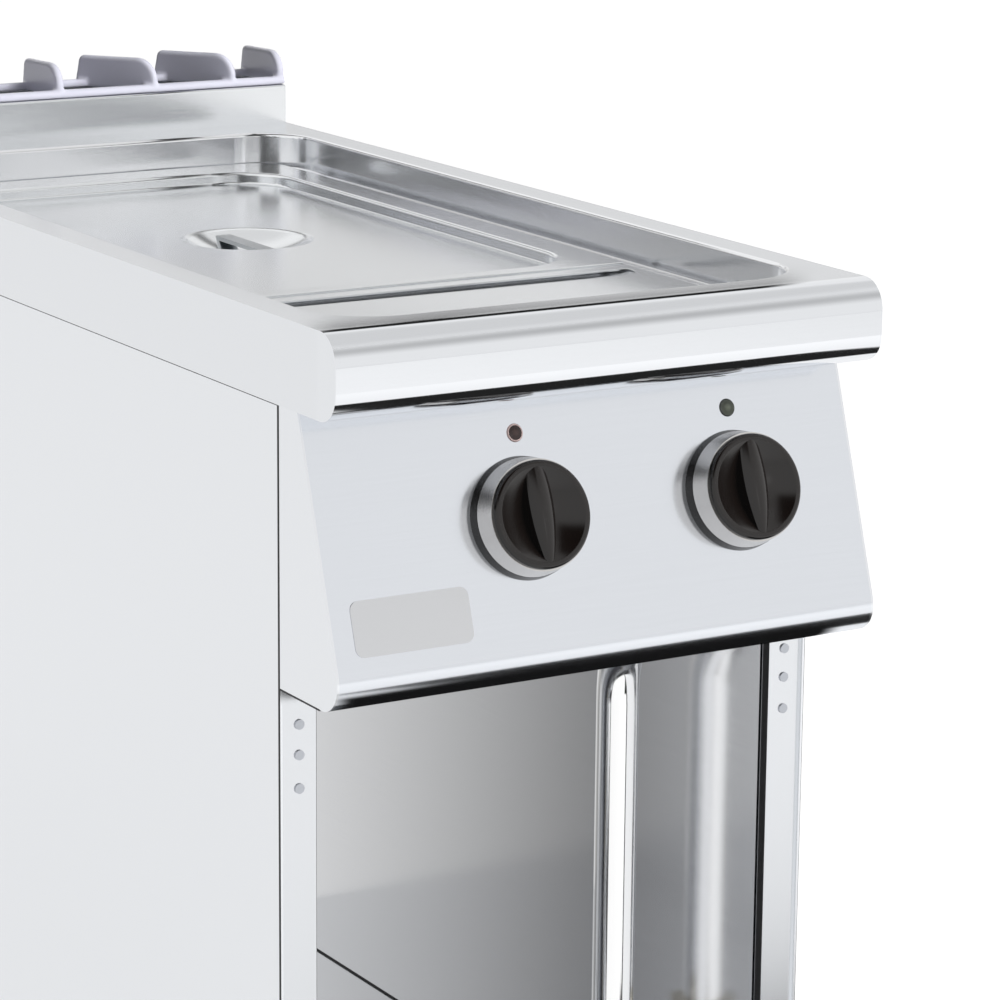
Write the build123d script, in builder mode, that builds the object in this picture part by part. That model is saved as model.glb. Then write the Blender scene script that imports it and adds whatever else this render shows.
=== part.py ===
from build123d import *

import os
from math import asin, cos, degrees, radians, sin, sqrt, tan

os.makedirs("parts", exist_ok=True)

# A free-standing bain-marie: a stainless worktop with a heated well, a full-size pan under its lid, a sloping
# control panel and an open cabinet. Millimetres, +Z up, +Y to the back, origin on the floor under the middle.

# Worktop
worktop_height = 850.0
top_sheet = 2.0
skirt = 55.5  # height of the worktop's edge
nose_round = 20.0  # radius of the bullnose, above and below
nose_return = 62.0  # how far the bullnose's underside runs back
front_land = 44.0  # flat worktop in front of the well
side_land = 25.0  # and beside it
rear_land = 44.5  # and between it and the riser

# Full-size pan and its lid
pan_width = 325.0
pan_length = 530.0
pan_depth = 100.0
pan_sheet = 0.9
pan_flange = 10.0
pan_front_corner = 12.0  # of the pan's flange
rear_corner = 28.0  # of the pan's flange and the lid
lid_front_corner = 3.0
pan_corner = 40.0
pan_floor_round = 14.0
pan_draft = 3.0  # degrees
seat_gap = 0.2  # between a lift-off piece and what it rests on
lid_sheet = 1.0
lid_edge = 2.6  # height of the lid's turned-down edge
lid_edge_round = 0.8
lid_dish_width = 272.0
lid_dish_front = 17.0  # flange in front of the dish
lid_dish_rear = 36.0  # flange behind it
lid_dish_depth = 9.2
lid_dish_corner = 46.0
lid_bend = 3.0  # outer bend radius of the lid's sheet
cup_radius = 46.0  # round handle cup in the middle of the dish
cup_depth = 14.0
cup_edge_round = 9.0
strap_width = 12.0
strap_thick = 3.0
strap_drop = 3.2  # under the dish's floor
strap_fit = 0.02  # between the strap's ends and the cup

# Front cover plate
cover_length = 202.5
cover_gap = 2.5  # to the well's front wall
cover_to_pan = 1.0
cover_trim = 0.5  # narrower than the pan on each side
cover_height = 2.5
cover_sheet = 1.2
cover_front_corner = 32.0
cover_rear_corner = 3.0
cover_edge_round = 0.9
slot_margin = 8.0  # from the cover's sides
slot_width = 23.5
slot_inset = 15.0  # from the cover's rear edge
slot_front_corner = 19.0
slot_rear_corner = 2.5
slot_edge_round = 0.4

# Well
side_gap = 12.5  # pan to the recess wall
rear_gap = 3.0
recess_corner = 45.0
ledge_drop = 27.5
rim_wall = 3.0
rim_round = 2.8
recess_floor_round = 2.0
front_ledge = 40.0
tank_clear = 2.5  # pan body to the deep tank
tank_corner = 30.0
tank_sheet = 2.0
tank_drop = 190.0
tank_floor_round = 12.0
bar_width = 22.0  # divider bar between pan and cover
bar_height = 13.0
bar_under_pan = 8.0
false_sheet = 1.5
false_height = 18.0
false_margin = 8.0  # from the rounded corner of the tank's floor
false_hole = 9.0
false_pitch = 45.0

# Flue riser and grille
riser_depth = 72.5
riser_height = 31.0
riser_lip = 12.0
riser_bend = 2.0
flue_margin = 14.0
rail_height = 6.4
rail_width = 7.5
rail_round = 4.0  # of the front rail's upper edge
rear_rail_inset = 8.5  # from the back of the grille
vane_height = 27.0
vane_thick = 7.0
vane_round = 2.6
vane_fall = 1.7  # of a vane's top towards the back
vane_lean = 5.0  # of a vane's rear edge, towards the front
vane_front_round = 18.0
vane_rear_round = 5.0
vane_setback = 1.5
vane_end_step = 46.0  # from an end vane to the first slanted one
vane_step = 70.0
vane_slant = 39.0  # sideways shift of a slanted vane

# Sheet of the panel and the cabinet
sheet = 1.5
inner_sheet = 1.2
seam = 0.8  # shadow gap under the worktop's skirt

# Control panel
panel_tilt = 18.0  # degrees from upright
panel_roll = 20.0  # radius of its lower edge
panel_drop = 236.0
panel_proud = 1.0  # lower edge in front of the bullnose
panel_back = 74.0
panel_inset = 0.5  # narrower than the worktop on each side

# Knobs, lamps and badge, measured on the sloping face
knob_inset = 92.5  # right knob's axis, from the panel's right end
knob_spacing = 159.5
knob_down = 81.6  # from the panel's upper edge
bezel_foot = 39.2
bezel_rim = 38.0
bezel_bore = 30.0
bezel_height = 6.4
skirt_foot = 37.8
skirt_rim = 35.3
skirt_bore = 29.0
skirt_height = 13.4
turn_gap = 0.3  # between the bezel and the turning skirt
cap_radius = 34.3
cap_height = 3.9  # of the cap's rim, over the skirt
cap_edge = 2.6
bowl_radius = 30.0  # the cap's face is dished inside its rim
bowl_depth = 8.5
bowl_edge_round = 1.2
bowl_wall = 3.0
bowl_play = 0.5  # between the dished middle and the skirt
hub_radius = 9.0
grip_end = 12.0  # width of the bar across the dish, at its upper end
grip_middle = 16.6
grip_point = 4.6  # and at its lower end, which points at the setting
grip_crown = 0.45  # rise of the bar's rounded crest, as a share of its half-width
grip_rise = 2.7  # crest over the rim
grip_end_drop = 3.0  # fall of the crest towards the bar's ends
grip_draft = 14.0  # degrees
spindle_radius = 3.0
spindle_in = 14.0
spindle_cover = 2.0  # of the cap over the spindle's end
spindle_play = 0.05
panel_hole = 5.0
control_box = 42.0
control_depth = 34.0
control_neck = 8.0
control_standoff = 4.0
lamp_down = 27.9
lamp_offset = 1.8  # to the right of the knob's axis
lamp_radius = 5.9
lamp_proud = 0.8
lamp_body = 5.2
lamp_depth = 18.0
lamp_nut = 7.8
lamp_nut_height = 3.0
lens_radius = 4.7
lens_dome = 0.6
lens_foot = 6.0
badge_inset = 15.5  # from the panel's left end
badge_down = 135.8
badge_width = 83.0
badge_height = 35.0
badge_corner = 6.0
badge_thick = 0.5

# Heater under the tank
heater_radius = 4.2
heater_pitch = 60.0
heater_bend = 28.0
heater_front = 36.0  # terminals, behind the tank's front wall
heater_turn = 86.0
heater_rear = 70.0
clamp_width = 20.0
clamp_thick = 3.0
clamp_overhang = 15.0
clamp_foot = 8.0
clamp_count = 3
mat_gap = 2.0
bulb_radius = 3.0
bulb_length = 106.0
bulb_x = -60.0
bulb_height = 12.0  # above the tank's floor
gland_radius = 8.0
gland_thick = 6.0
limit_x = 27.0
limit_radius = 14.0
limit_depth = 18.0
limit_round = 2.0
limit_drop = 140.0

# Cabinet
cabinet_inset = 1.0
cabinet_front = 77.5
cap_seam = 0.8
floor_drop = 683.0
base_drop = 708.0
shield_drop = 246.0
post_gap = 1.2
post_width = 24.0
post_return = 25.0
post_inner_return = 8.0
wall_inset = 23.0
wall_setback = 17.5
rear_void = 50.0
plug_radius = 3.3
plug_head = 1.0
plug_stem = 2.6
plug_drops = (262.0, 282.0, 304.0)

# Drain
drain_inset = 29.0  # from the tank's side wall
drain_y = 180.0
outlet_radius = 18.0
outlet_bore = 13.0
outlet_drop = 238.0
socket_depth = 13.0
pipe_radius = 15.0
pipe_wall = 1.5
pipe_bend = 60.0
pipe_wall_gap = 39.0  # from the cabinet's inner wall to the pipe's axis
pipe_y = 212.0
bend_top_drop = 258.0
bend_low_drop = 305.0
shield_hole = 24.0
valve_drop = 562.0
valve_length = 78.0
valve_radius = 21.0
valve_hex = 26.0
valve_hex_height = 15.0
ball_radius = 16.0
ball_bore = 11.0
ball_play = 0.06
stem_radius = 5.0
stem_root = 2.0  # of the stem's foot, outside the ball's bore
stem_boss = 9.0
stem_reach = 34.0
lever_gap = 1.0
lever_length = 104.0
lever_width = 18.0
lever_thick = 3.0
grip_length = 58.0
grip_wall = 2.2
tail_below = 7.0  # pipe under the cabinet's base
tail_hole_gap = 0.5
spigot_radius = 12.5  # hose spigot under the tail pipe
spigot_length = 30.0

# Supply
box_width = 100.0
box_depth = 40.0
box_height = 100.0
box_above_floor = 90.0
box_corner = 4.0
cable_hole = 10.0
cable_bore = 6.0
cable_nut = 13.0
cable_nut_height = 6.0
cable_body = 12.0
cable_body_height = 20.0

# Base
rail_tube_width = 37.0
rail_tube_wall = 2.0
rail_inset = 2.5
rail_end_gap = 8.0
leg_radius = 22.0
leg_bore = 10.0
leg_front = 130.0
leg_rear = 60.0  # from the back
foot_height = 50.0
foot_radius = 23.0
foot_neck = 15.0
foot_pad = 10.0
foot_gap = 0.3
foot_stem = 60.0
stem_play = 0.05

# Worked out from the sizes above
recess_width = pan_width + 2 * side_gap
width = recess_width + 2 * side_land
pan_front = front_land + cover_gap + cover_length + cover_to_pan
pan_rear = pan_front + pan_length
recess_rear = pan_rear + rear_gap
depth = recess_rear + rear_land + riser_depth
tank_width = pan_width - 2 * pan_flange + 2 * tank_clear
tank_front = front_land + front_ledge
tank_rear = pan_rear - pan_flange + tank_clear
tank_bottom = tank_drop + tank_sheet
side_outer = width / 2 - cabinet_inset
side_inner = side_outer - sheet
wall_x = width / 2 - wall_inset
wall_rear = depth - rear_void
drain_x = tank_width / 2 - drain_inset
pipe_x = wall_x - pipe_wall_gap

# The knob's rounded rim is the foremost point of the whole, and the frame is centred between it and the back.
tilt = radians(panel_tilt)
ring_foot = bezel_height + turn_gap
cap_foot = ring_foot + skirt_height
rim_top = cap_foot + cap_height
crest_top = rim_top + grip_rise
spindle_top = rim_top - bowl_depth - spindle_cover
roll_y = panel_roll - panel_proud
panel_top_y = roll_y + ((panel_drop - panel_roll - skirt) * sin(tilt) - panel_roll) / cos(tilt)
panel_toe_y = roll_y - panel_roll * (1 + sin(tilt)) / cos(tilt)
knob_y = panel_top_y - knob_down * sin(tilt)
rim_reach = (rim_top - cap_edge) * cos(tilt) + (cap_radius - cap_edge) * sin(tilt) + cap_edge
knob_reach = rim_reach - knob_y


def back(distance):
    """Y of a point this far behind the front of the bullnose."""
    return distance - (depth - knob_reach) / 2


def down(drop):
    """Z of a point this far under the worktop's upper face."""
    return worktop_height - drop


def middle(low, high):
    return (low + high) / 2


def block(x, y, z, mode=Mode.ADD):
    """Add or cut a box between two limits on each axis, in the part being built."""
    with Locations((middle(*x), middle(*y), middle(*z))):
        Box(x[1] - x[0], y[1] - y[0], z[1] - z[0], mode=mode)


def plate_outline(sketch, size_x, front, rear, front_radius, rear_radius):
    """Draw a plate with one corner radius at its front and another at its rear."""
    with Locations((0, back(middle(front, rear)))):
        Rectangle(size_x, rear - front)
    fillet(sketch.vertices().group_by(Axis.Y)[0], front_radius)
    fillet(sketch.vertices().group_by(Axis.Y)[-1], rear_radius)


def flat_faces(piece, z):
    """The level faces of a piece at one height."""
    level = piece.faces().filter_by(GeomType.PLANE).filter_by(Axis.Z)
    return level.filter_by_position(Axis.Z, z - 0.01, z + 0.01)


def opening_edges(piece, z):
    """Edges round the opening in a piece's level face at one height."""
    return flat_faces(piece, z)[0].inner_wires()[0].edges()


def write(piece, name):
    piece.part.label = name
    export_step(piece.part, f"parts/{name}.step")


# Worktop: one folded sheet with a bullnose, open underneath and cut out for the well and the flue
with BuildPart() as worktop:
    with BuildSketch(Plane.YZ) as worktop_outline:
        with Locations((back(depth / 2), down(skirt / 2))):
            Rectangle(depth, skirt)
        fillet(worktop_outline.vertices().group_by(Axis.X)[0], nose_round)
    extrude(amount=width / 2, both=True)
    with BuildSketch(Plane.YZ) as worktop_hollow:
        with Locations((back(depth / 2), down(skirt / 2))):
            Rectangle(depth - 2 * top_sheet, skirt - 2 * top_sheet)
        fillet(worktop_hollow.vertices().group_by(Axis.X)[0], nose_round - top_sheet)
    extrude(amount=width / 2 - top_sheet, both=True, mode=Mode.SUBTRACT)
    half_inside = width / 2 - top_sheet
    block(
        (-half_inside, half_inside),
        (back(nose_return), back(depth - top_sheet)),
        (down(skirt), down(skirt - top_sheet)),
        mode=Mode.SUBTRACT,
    )
    with BuildSketch(Plane.XY.offset(down(0))):
        with Locations((0, back(middle(front_land, recess_rear)))):
            RectangleRounded(
                recess_width + 2 * rim_wall,
                recess_rear - front_land + 2 * rim_wall,
                recess_corner + rim_wall,
            )
    extrude(amount=-top_sheet, mode=Mode.SUBTRACT)
    block(
        (-width / 2 + flue_margin, width / 2 - flue_margin),
        (back(depth - riser_depth + flue_margin), back(depth - flue_margin)),
        (down(top_sheet), down(0)),
        mode=Mode.SUBTRACT,
    )
write(worktop, "worktop")

# Well: the rim with its recess wall and a ledge for the pan's flange, pressed in two halves that are welded
# at mid-length, and the deep tank welded under it
with BuildPart() as recess_space:
    with BuildSketch(Plane.XY.offset(down(0))):
        with Locations((0, back(middle(front_land, recess_rear)))):
            RectangleRounded(recess_width, recess_rear - front_land, recess_corner)
    extrude(amount=-ledge_drop)
    fillet(flat_faces(recess_space, down(ledge_drop)).edges(), recess_floor_round)

with BuildPart() as tank_space:
    with BuildSketch(Plane.XY.offset(down(ledge_drop))):
        with Locations((0, back(middle(tank_front, tank_rear)))):
            RectangleRounded(tank_width, tank_rear - tank_front, tank_corner)
    extrude(amount=ledge_drop - tank_drop)
    fillet(flat_faces(tank_space, down(tank_drop)).edges(), tank_floor_round)

with BuildPart() as well_rim:
    with BuildSketch(Plane.XY.offset(down(0))):
        with Locations((0, back(middle(front_land, recess_rear)))):
            RectangleRounded(
                recess_width + 2 * rim_wall,
                recess_rear - front_land + 2 * rim_wall,
                recess_corner + rim_wall,
            )
    extrude(amount=-(ledge_drop + tank_sheet))
    add(recess_space.part, mode=Mode.SUBTRACT)
    add(tank_space.part, mode=Mode.SUBTRACT)
    fillet(opening_edges(well_rim, down(0)), rim_round)
    split(bisect_by=Plane.XZ.offset(-back(middle(front_land, recess_rear))), keep=Keep.BOTH)
write(well_rim, "well_rim")

bulb_plane = Plane(origin=(bulb_x, back(tank_front), down(tank_drop - bulb_height)), z_dir=(0, 1, 0))
with BuildPart() as well_tank:
    with BuildSketch(Plane.XY.offset(down(ledge_drop + tank_sheet))):
        with Locations((0, back(middle(tank_front, tank_rear)))):
            RectangleRounded(
                tank_width + 2 * tank_sheet,
                tank_rear - tank_front + 2 * tank_sheet,
                tank_corner + tank_sheet,
            )
    extrude(amount=ledge_drop - tank_drop)
    fillet(flat_faces(well_tank, down(tank_bottom)).edges(), tank_floor_round + tank_sheet)
    add(tank_space.part, mode=Mode.SUBTRACT)
    with Locations((drain_x, back(drain_y), down(tank_drop))):
        Hole(outlet_radius, depth=2 * tank_sheet)
    with Locations(bulb_plane):
        Hole(bulb_radius, depth=2 * tank_sheet)
write(well_tank, "well_tank")

# Divider bar: welded across the tank, it carries the pan's front flange and the cover's rear edge
with BuildPart() as divider_bar:
    bar_rear = pan_front + bar_under_pan
    block(
        (-tank_width / 2, tank_width / 2),
        (back(bar_rear - bar_width), back(bar_rear)),
        (down(ledge_drop + bar_height), down(ledge_drop)),
    )
    fillet(divider_bar.edges().filter_by(Axis.X).group_by(Axis.Z)[0], bar_height / 4)
write(divider_bar, "divider_bar")

# False bottom: a perforated plate on two turned-down sides, standing on the tank's floor
with BuildPart() as false_bottom:
    false_half = tank_width / 2 - tank_floor_round - false_margin
    false_front = tank_front + tank_floor_round + false_margin
    false_rear = tank_rear - tank_floor_round - false_margin
    false_top = down(tank_drop - false_height)
    with BuildSketch(Plane.XY.offset(false_top)):
        with Locations((0, back(middle(false_front, false_rear)))):
            Rectangle(2 * false_half, false_rear - false_front)
            columns = int((2 * false_half - false_pitch) / false_pitch)
            rows = int((false_rear - false_front - false_pitch) / false_pitch)
            with GridLocations(false_pitch, false_pitch, columns, rows):
                Circle(false_hole, mode=Mode.SUBTRACT)
    extrude(amount=-false_sheet)
    for side in (-1, 1):
        block(
            tuple(sorted((side * false_half, side * (false_half - false_sheet)))),
            (back(false_front), back(false_rear)),
            (down(tank_drop), false_top - false_sheet),
        )
write(false_bottom, "false_bottom")

# Pan: a drawn tray with a flat flange
pan_seat = down(ledge_drop) + seat_gap
with BuildPart() as pan_space:
    with BuildSketch(Plane.XY.offset(pan_seat + pan_sheet)):
        with Locations((0, back(middle(pan_front, pan_rear)))):
            RectangleRounded(
                pan_width - 2 * pan_flange - 2 * pan_sheet,
                pan_length - 2 * pan_flange - 2 * pan_sheet,
                pan_corner - pan_sheet,
            )
    extrude(amount=-pan_depth, taper=pan_draft)
    fillet(flat_faces(pan_space, pan_seat + pan_sheet - pan_depth).edges(), pan_floor_round)

with BuildPart() as gn_pan:
    with BuildSketch(Plane.XY.offset(pan_seat)):
        with Locations((0, back(middle(pan_front, pan_rear)))):
            RectangleRounded(pan_width - 2 * pan_flange, pan_length - 2 * pan_flange, pan_corner)
    extrude(amount=-pan_depth, taper=pan_draft)
    fillet(flat_faces(gn_pan, pan_seat - pan_depth).edges(), pan_floor_round + pan_sheet)
    with BuildSketch(Plane.XY.offset(pan_seat)) as pan_outline:
        plate_outline(pan_outline, pan_width, pan_front, pan_rear, pan_front_corner, rear_corner)
    extrude(amount=pan_sheet)
    add(pan_space.part, mode=Mode.SUBTRACT)
write(gn_pan, "gn_pan")

# Lid: a flange with a turned-down edge, a dished middle and a round cup for the fingers
lid_seat = pan_seat + pan_sheet + seat_gap
lid_top = lid_seat + lid_edge
dish_front = pan_front + lid_dish_front
dish_rear = pan_rear - lid_dish_rear
dish_floor = lid_top - lid_dish_depth
cup_y = back(middle(dish_front, dish_rear))
cup_sphere = (cup_radius**2 + cup_depth**2) / (2 * cup_depth)
cup_centre = dish_floor - cup_depth + cup_sphere
with BuildPart() as dish_space:
    with BuildSketch(Plane.XY.offset(lid_top)):
        with Locations((0, back(middle(dish_front, dish_rear)))):
            RectangleRounded(lid_dish_width, dish_rear - dish_front, lid_dish_corner)
    extrude(amount=-lid_dish_depth)
    fillet(flat_faces(dish_space, dish_floor).edges(), lid_bend - lid_sheet)

with BuildPart() as gn_lid:
    with BuildSketch(Plane.XY.offset(lid_top - lid_sheet)):
        with Locations((0, back(middle(dish_front, dish_rear)))):
            RectangleRounded(
                lid_dish_width + 2 * lid_sheet,
                dish_rear - dish_front + 2 * lid_sheet,
                lid_dish_corner + lid_sheet,
            )
    extrude(amount=-lid_dish_depth)
    fillet(flat_faces(gn_lid, dish_floor - lid_sheet).edges(), lid_bend)
    with BuildSketch(Plane.XY.offset(lid_top)) as lid_outline:
        plate_outline(lid_outline, pan_width, pan_front, pan_rear, lid_front_corner, rear_corner)
    extrude(amount=-lid_sheet)
    fillet(flat_faces(gn_lid, lid_top).edges(), lid_edge_round)
    with BuildSketch(Plane.XY.offset(lid_top - lid_sheet)) as lid_edge_outline:
        plate_outline(lid_edge_outline, pan_width, pan_front, pan_rear, lid_front_corner, rear_corner)
        offset(amount=-lid_sheet, mode=Mode.SUBTRACT)
    extrude(amount=lid_sheet - lid_edge)
    add(dish_space.part, mode=Mode.SUBTRACT)
    fillet(opening_edges(gn_lid, lid_top), lid_bend)
    with Locations((0, cup_y, cup_centre)):
        cup_top = degrees(asin((dish_floor - lid_sheet / 2 - cup_centre) / (cup_sphere + lid_sheet)))
        Sphere(cup_sphere + lid_sheet, -90, cup_top, align=None)
        Sphere(cup_sphere, align=None, mode=Mode.SUBTRACT)
    fillet(opening_edges(gn_lid, dish_floor), cup_edge_round)
write(gn_lid, "gn_lid")

# Strap handle: a flat bar across the cup, welded to it at both ends
with BuildPart() as lid_handle:
    block(
        (-strap_width / 2, strap_width / 2),
        (cup_y - cup_radius, cup_y + cup_radius),
        (dish_floor - strap_drop - strap_thick, dish_floor - strap_drop),
    )
    with Locations((0, cup_y, cup_centre)):
        Sphere(cup_sphere - strap_fit, align=None, mode=Mode.INTERSECT)
write(lid_handle, "lid_handle")

# Front cover: a flat plate with turned-down edges and a finger slot along its rear
cover_front = front_land + cover_gap
cover_rear = cover_front + cover_length
cover_width = pan_width - 2 * cover_trim
cover_shape = (cover_width, cover_front, cover_rear, cover_front_corner, cover_rear_corner)
cover_top = pan_seat + cover_height
slot_length = cover_width - 2 * slot_margin
slot_rear = cover_rear - slot_inset
slot_front = slot_rear - slot_width
with BuildPart() as front_cover:
    with BuildSketch(Plane.XY.offset(cover_top)) as cover_outline:
        plate_outline(cover_outline, *cover_shape)
    extrude(amount=-cover_height)
    fillet(flat_faces(front_cover, cover_top).edges(), cover_edge_round)
    with BuildSketch(Plane.XY.offset(pan_seat)) as cover_hollow:
        plate_outline(cover_hollow, *cover_shape)
        offset(amount=-cover_sheet, mode=Mode.REPLACE)
    extrude(amount=cover_height - cover_sheet, mode=Mode.SUBTRACT)
    with BuildSketch(Plane.XY.offset(cover_top)) as slot_outline:
        plate_outline(slot_outline, slot_length, slot_front, slot_rear, slot_front_corner, slot_rear_corner)
    extrude(amount=-cover_sheet, mode=Mode.SUBTRACT)
    fillet(opening_edges(front_cover, cover_top), slot_edge_round)
write(front_cover, "front_cover")

# Flue riser: an open-topped box along the back, with an inward lip that carries the grille
with BuildPart() as flue_riser:
    riser_front = depth - riser_depth
    block((-width / 2, width / 2), (back(riser_front), back(depth)), (down(0), down(-riser_height)))
    fillet(flat_faces(flue_riser, down(-riser_height)).edges(), riser_bend)
    block(
        (-width / 2 + sheet, width / 2 - sheet),
        (back(riser_front + sheet), back(depth - sheet)),
        (down(0), down(-riser_height + sheet)),
        mode=Mode.SUBTRACT,
    )
    block(
        (-width / 2 + riser_lip, width / 2 - riser_lip),
        (back(riser_front + riser_lip), back(depth - riser_lip)),
        (down(-riser_height + sheet), down(-riser_height)),
        mode=Mode.SUBTRACT,
    )
write(flue_riser, "flue_riser")

# Grille: one casting, with a rail along the front and the back and upright vanes between them
grille_foot = down(-riser_height) + seat_gap
vane_depth = riser_depth - 2 * vane_setback
end_vane = width / 2 - vane_thick / 2
outer_vane = end_vane - vane_end_step + vane_thick / 2
inner_vane = outer_vane - vane_step
vanes = [(0, 0)]
for side in (-1, 1):
    vanes.append((side * end_vane, 0))
    vanes.append((side * outer_vane, -side * vane_slant))
    vanes.append((side * inner_vane, -side * vane_slant))
with BuildPart() as flue_grille:
    for vane_x, shift in vanes:
        vane_length = sqrt(vane_depth**2 + shift**2)
        vane_plane = Plane(
            origin=(vane_x, back(riser_front + vane_setback), grille_foot),
            x_dir=(shift, vane_depth, 0),
            z_dir=(vane_depth, -shift, 0),
        )
        with BuildSketch(vane_plane):
            with BuildLine():
                FilletPolyline(
                    (0, 0),
                    (0, vane_height),
                    (vane_length - vane_lean, vane_height - vane_fall),
                    (vane_length, 0),
                    radius=[vane_front_round, vane_rear_round],
                )
                Line((vane_length, 0), (0, 0))
            make_face()
        extrude(amount=vane_thick / 2, both=True)
        vane_edges = flue_grille.edges(Select.LAST)
        upper = vane_edges.filter_by_position(Axis.Z, grille_foot + 1, grille_foot + vane_height)
        along = upper.filter_by(lambda edge: abs(edge.tangent_at(0.5).dot(vane_plane.z_dir)) < 0.5)
        fillet(along, vane_round)
    with BuildSketch(Plane.YZ) as front_rail:
        with Locations((back(riser_front + rail_width / 2), grille_foot + rail_height / 2)):
            Rectangle(rail_width, rail_height)
        fillet(front_rail.vertices().group_by(Axis.Y)[-1].sort_by(Axis.X)[0], rail_round)
    extrude(amount=width / 2, both=True)
    block(
        (-width / 2, width / 2),
        (back(depth - rear_rail_inset - rail_width), back(depth - rear_rail_inset)),
        (grille_foot, grille_foot + rail_height),
    )
write(flue_grille, "flue_grille")

# Control panel: a sloping sheet that rolls under at its lower edge, with its end caps
panel_half = width / 2 - panel_inset
panel_corners = [
    (back(panel_top_y), down(skirt)),
    (back(panel_toe_y), down(panel_drop)),
    (back(panel_back), down(panel_drop)),
    (back(panel_back), down(skirt)),
]
panel_face = Plane(
    origin=(0, back(panel_top_y), down(skirt)),
    x_dir=(1, 0, 0),
    z_dir=(0, -cos(tilt), sin(tilt)),
)
knob_right = panel_half - knob_inset
knob_spots = {"left": knob_right - knob_spacing, "right": knob_right}
with BuildPart() as control_panel:
    with BuildSketch(Plane.YZ) as panel_outline:
        with BuildLine():
            Polyline(*panel_corners, close=True)
        make_face()
        fillet(panel_outline.vertices().sort_by(Axis.X)[0], panel_roll)
    extrude(amount=panel_half - sheet, both=True)
    open_sides = control_panel.faces().filter_by(Axis.X) + [
        control_panel.faces().sort_by(Axis.Y)[-1],
        control_panel.faces().sort_by(Axis.Z)[-1],
    ]
    offset(amount=-sheet, openings=open_sides)
    with BuildSketch(panel_face):
        with Locations(*[(x, -knob_down) for x in knob_spots.values()]):
            Circle(panel_hole)
        with Locations(*[(x + lamp_offset, -lamp_down) for x in knob_spots.values()]):
            Circle(lamp_body)
    extrude(amount=-2 * sheet, mode=Mode.SUBTRACT)
write(control_panel, "control_panel")

with BuildPart() as panel_end_caps:
    for side in (-1, 1):
        with BuildSketch(Plane.YZ.offset(side * (panel_half - sheet))) as cap_outline:
            with BuildLine():
                Polyline(*panel_corners, close=True)
            make_face()
            fillet(cap_outline.vertices().sort_by(Axis.X)[0], panel_roll)
        extrude(amount=side * sheet)
write(panel_end_caps, "panel_end_caps")

# Badge: a blank plate with rounded corners
with BuildPart() as badge_plate:
    with BuildSketch(panel_face):
        with Locations((badge_inset + badge_width / 2 - panel_half, -badge_down)):
            RectangleRounded(badge_width, badge_height, badge_corner)
    extrude(amount=badge_thick)
write(badge_plate, "badge_plate")

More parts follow.
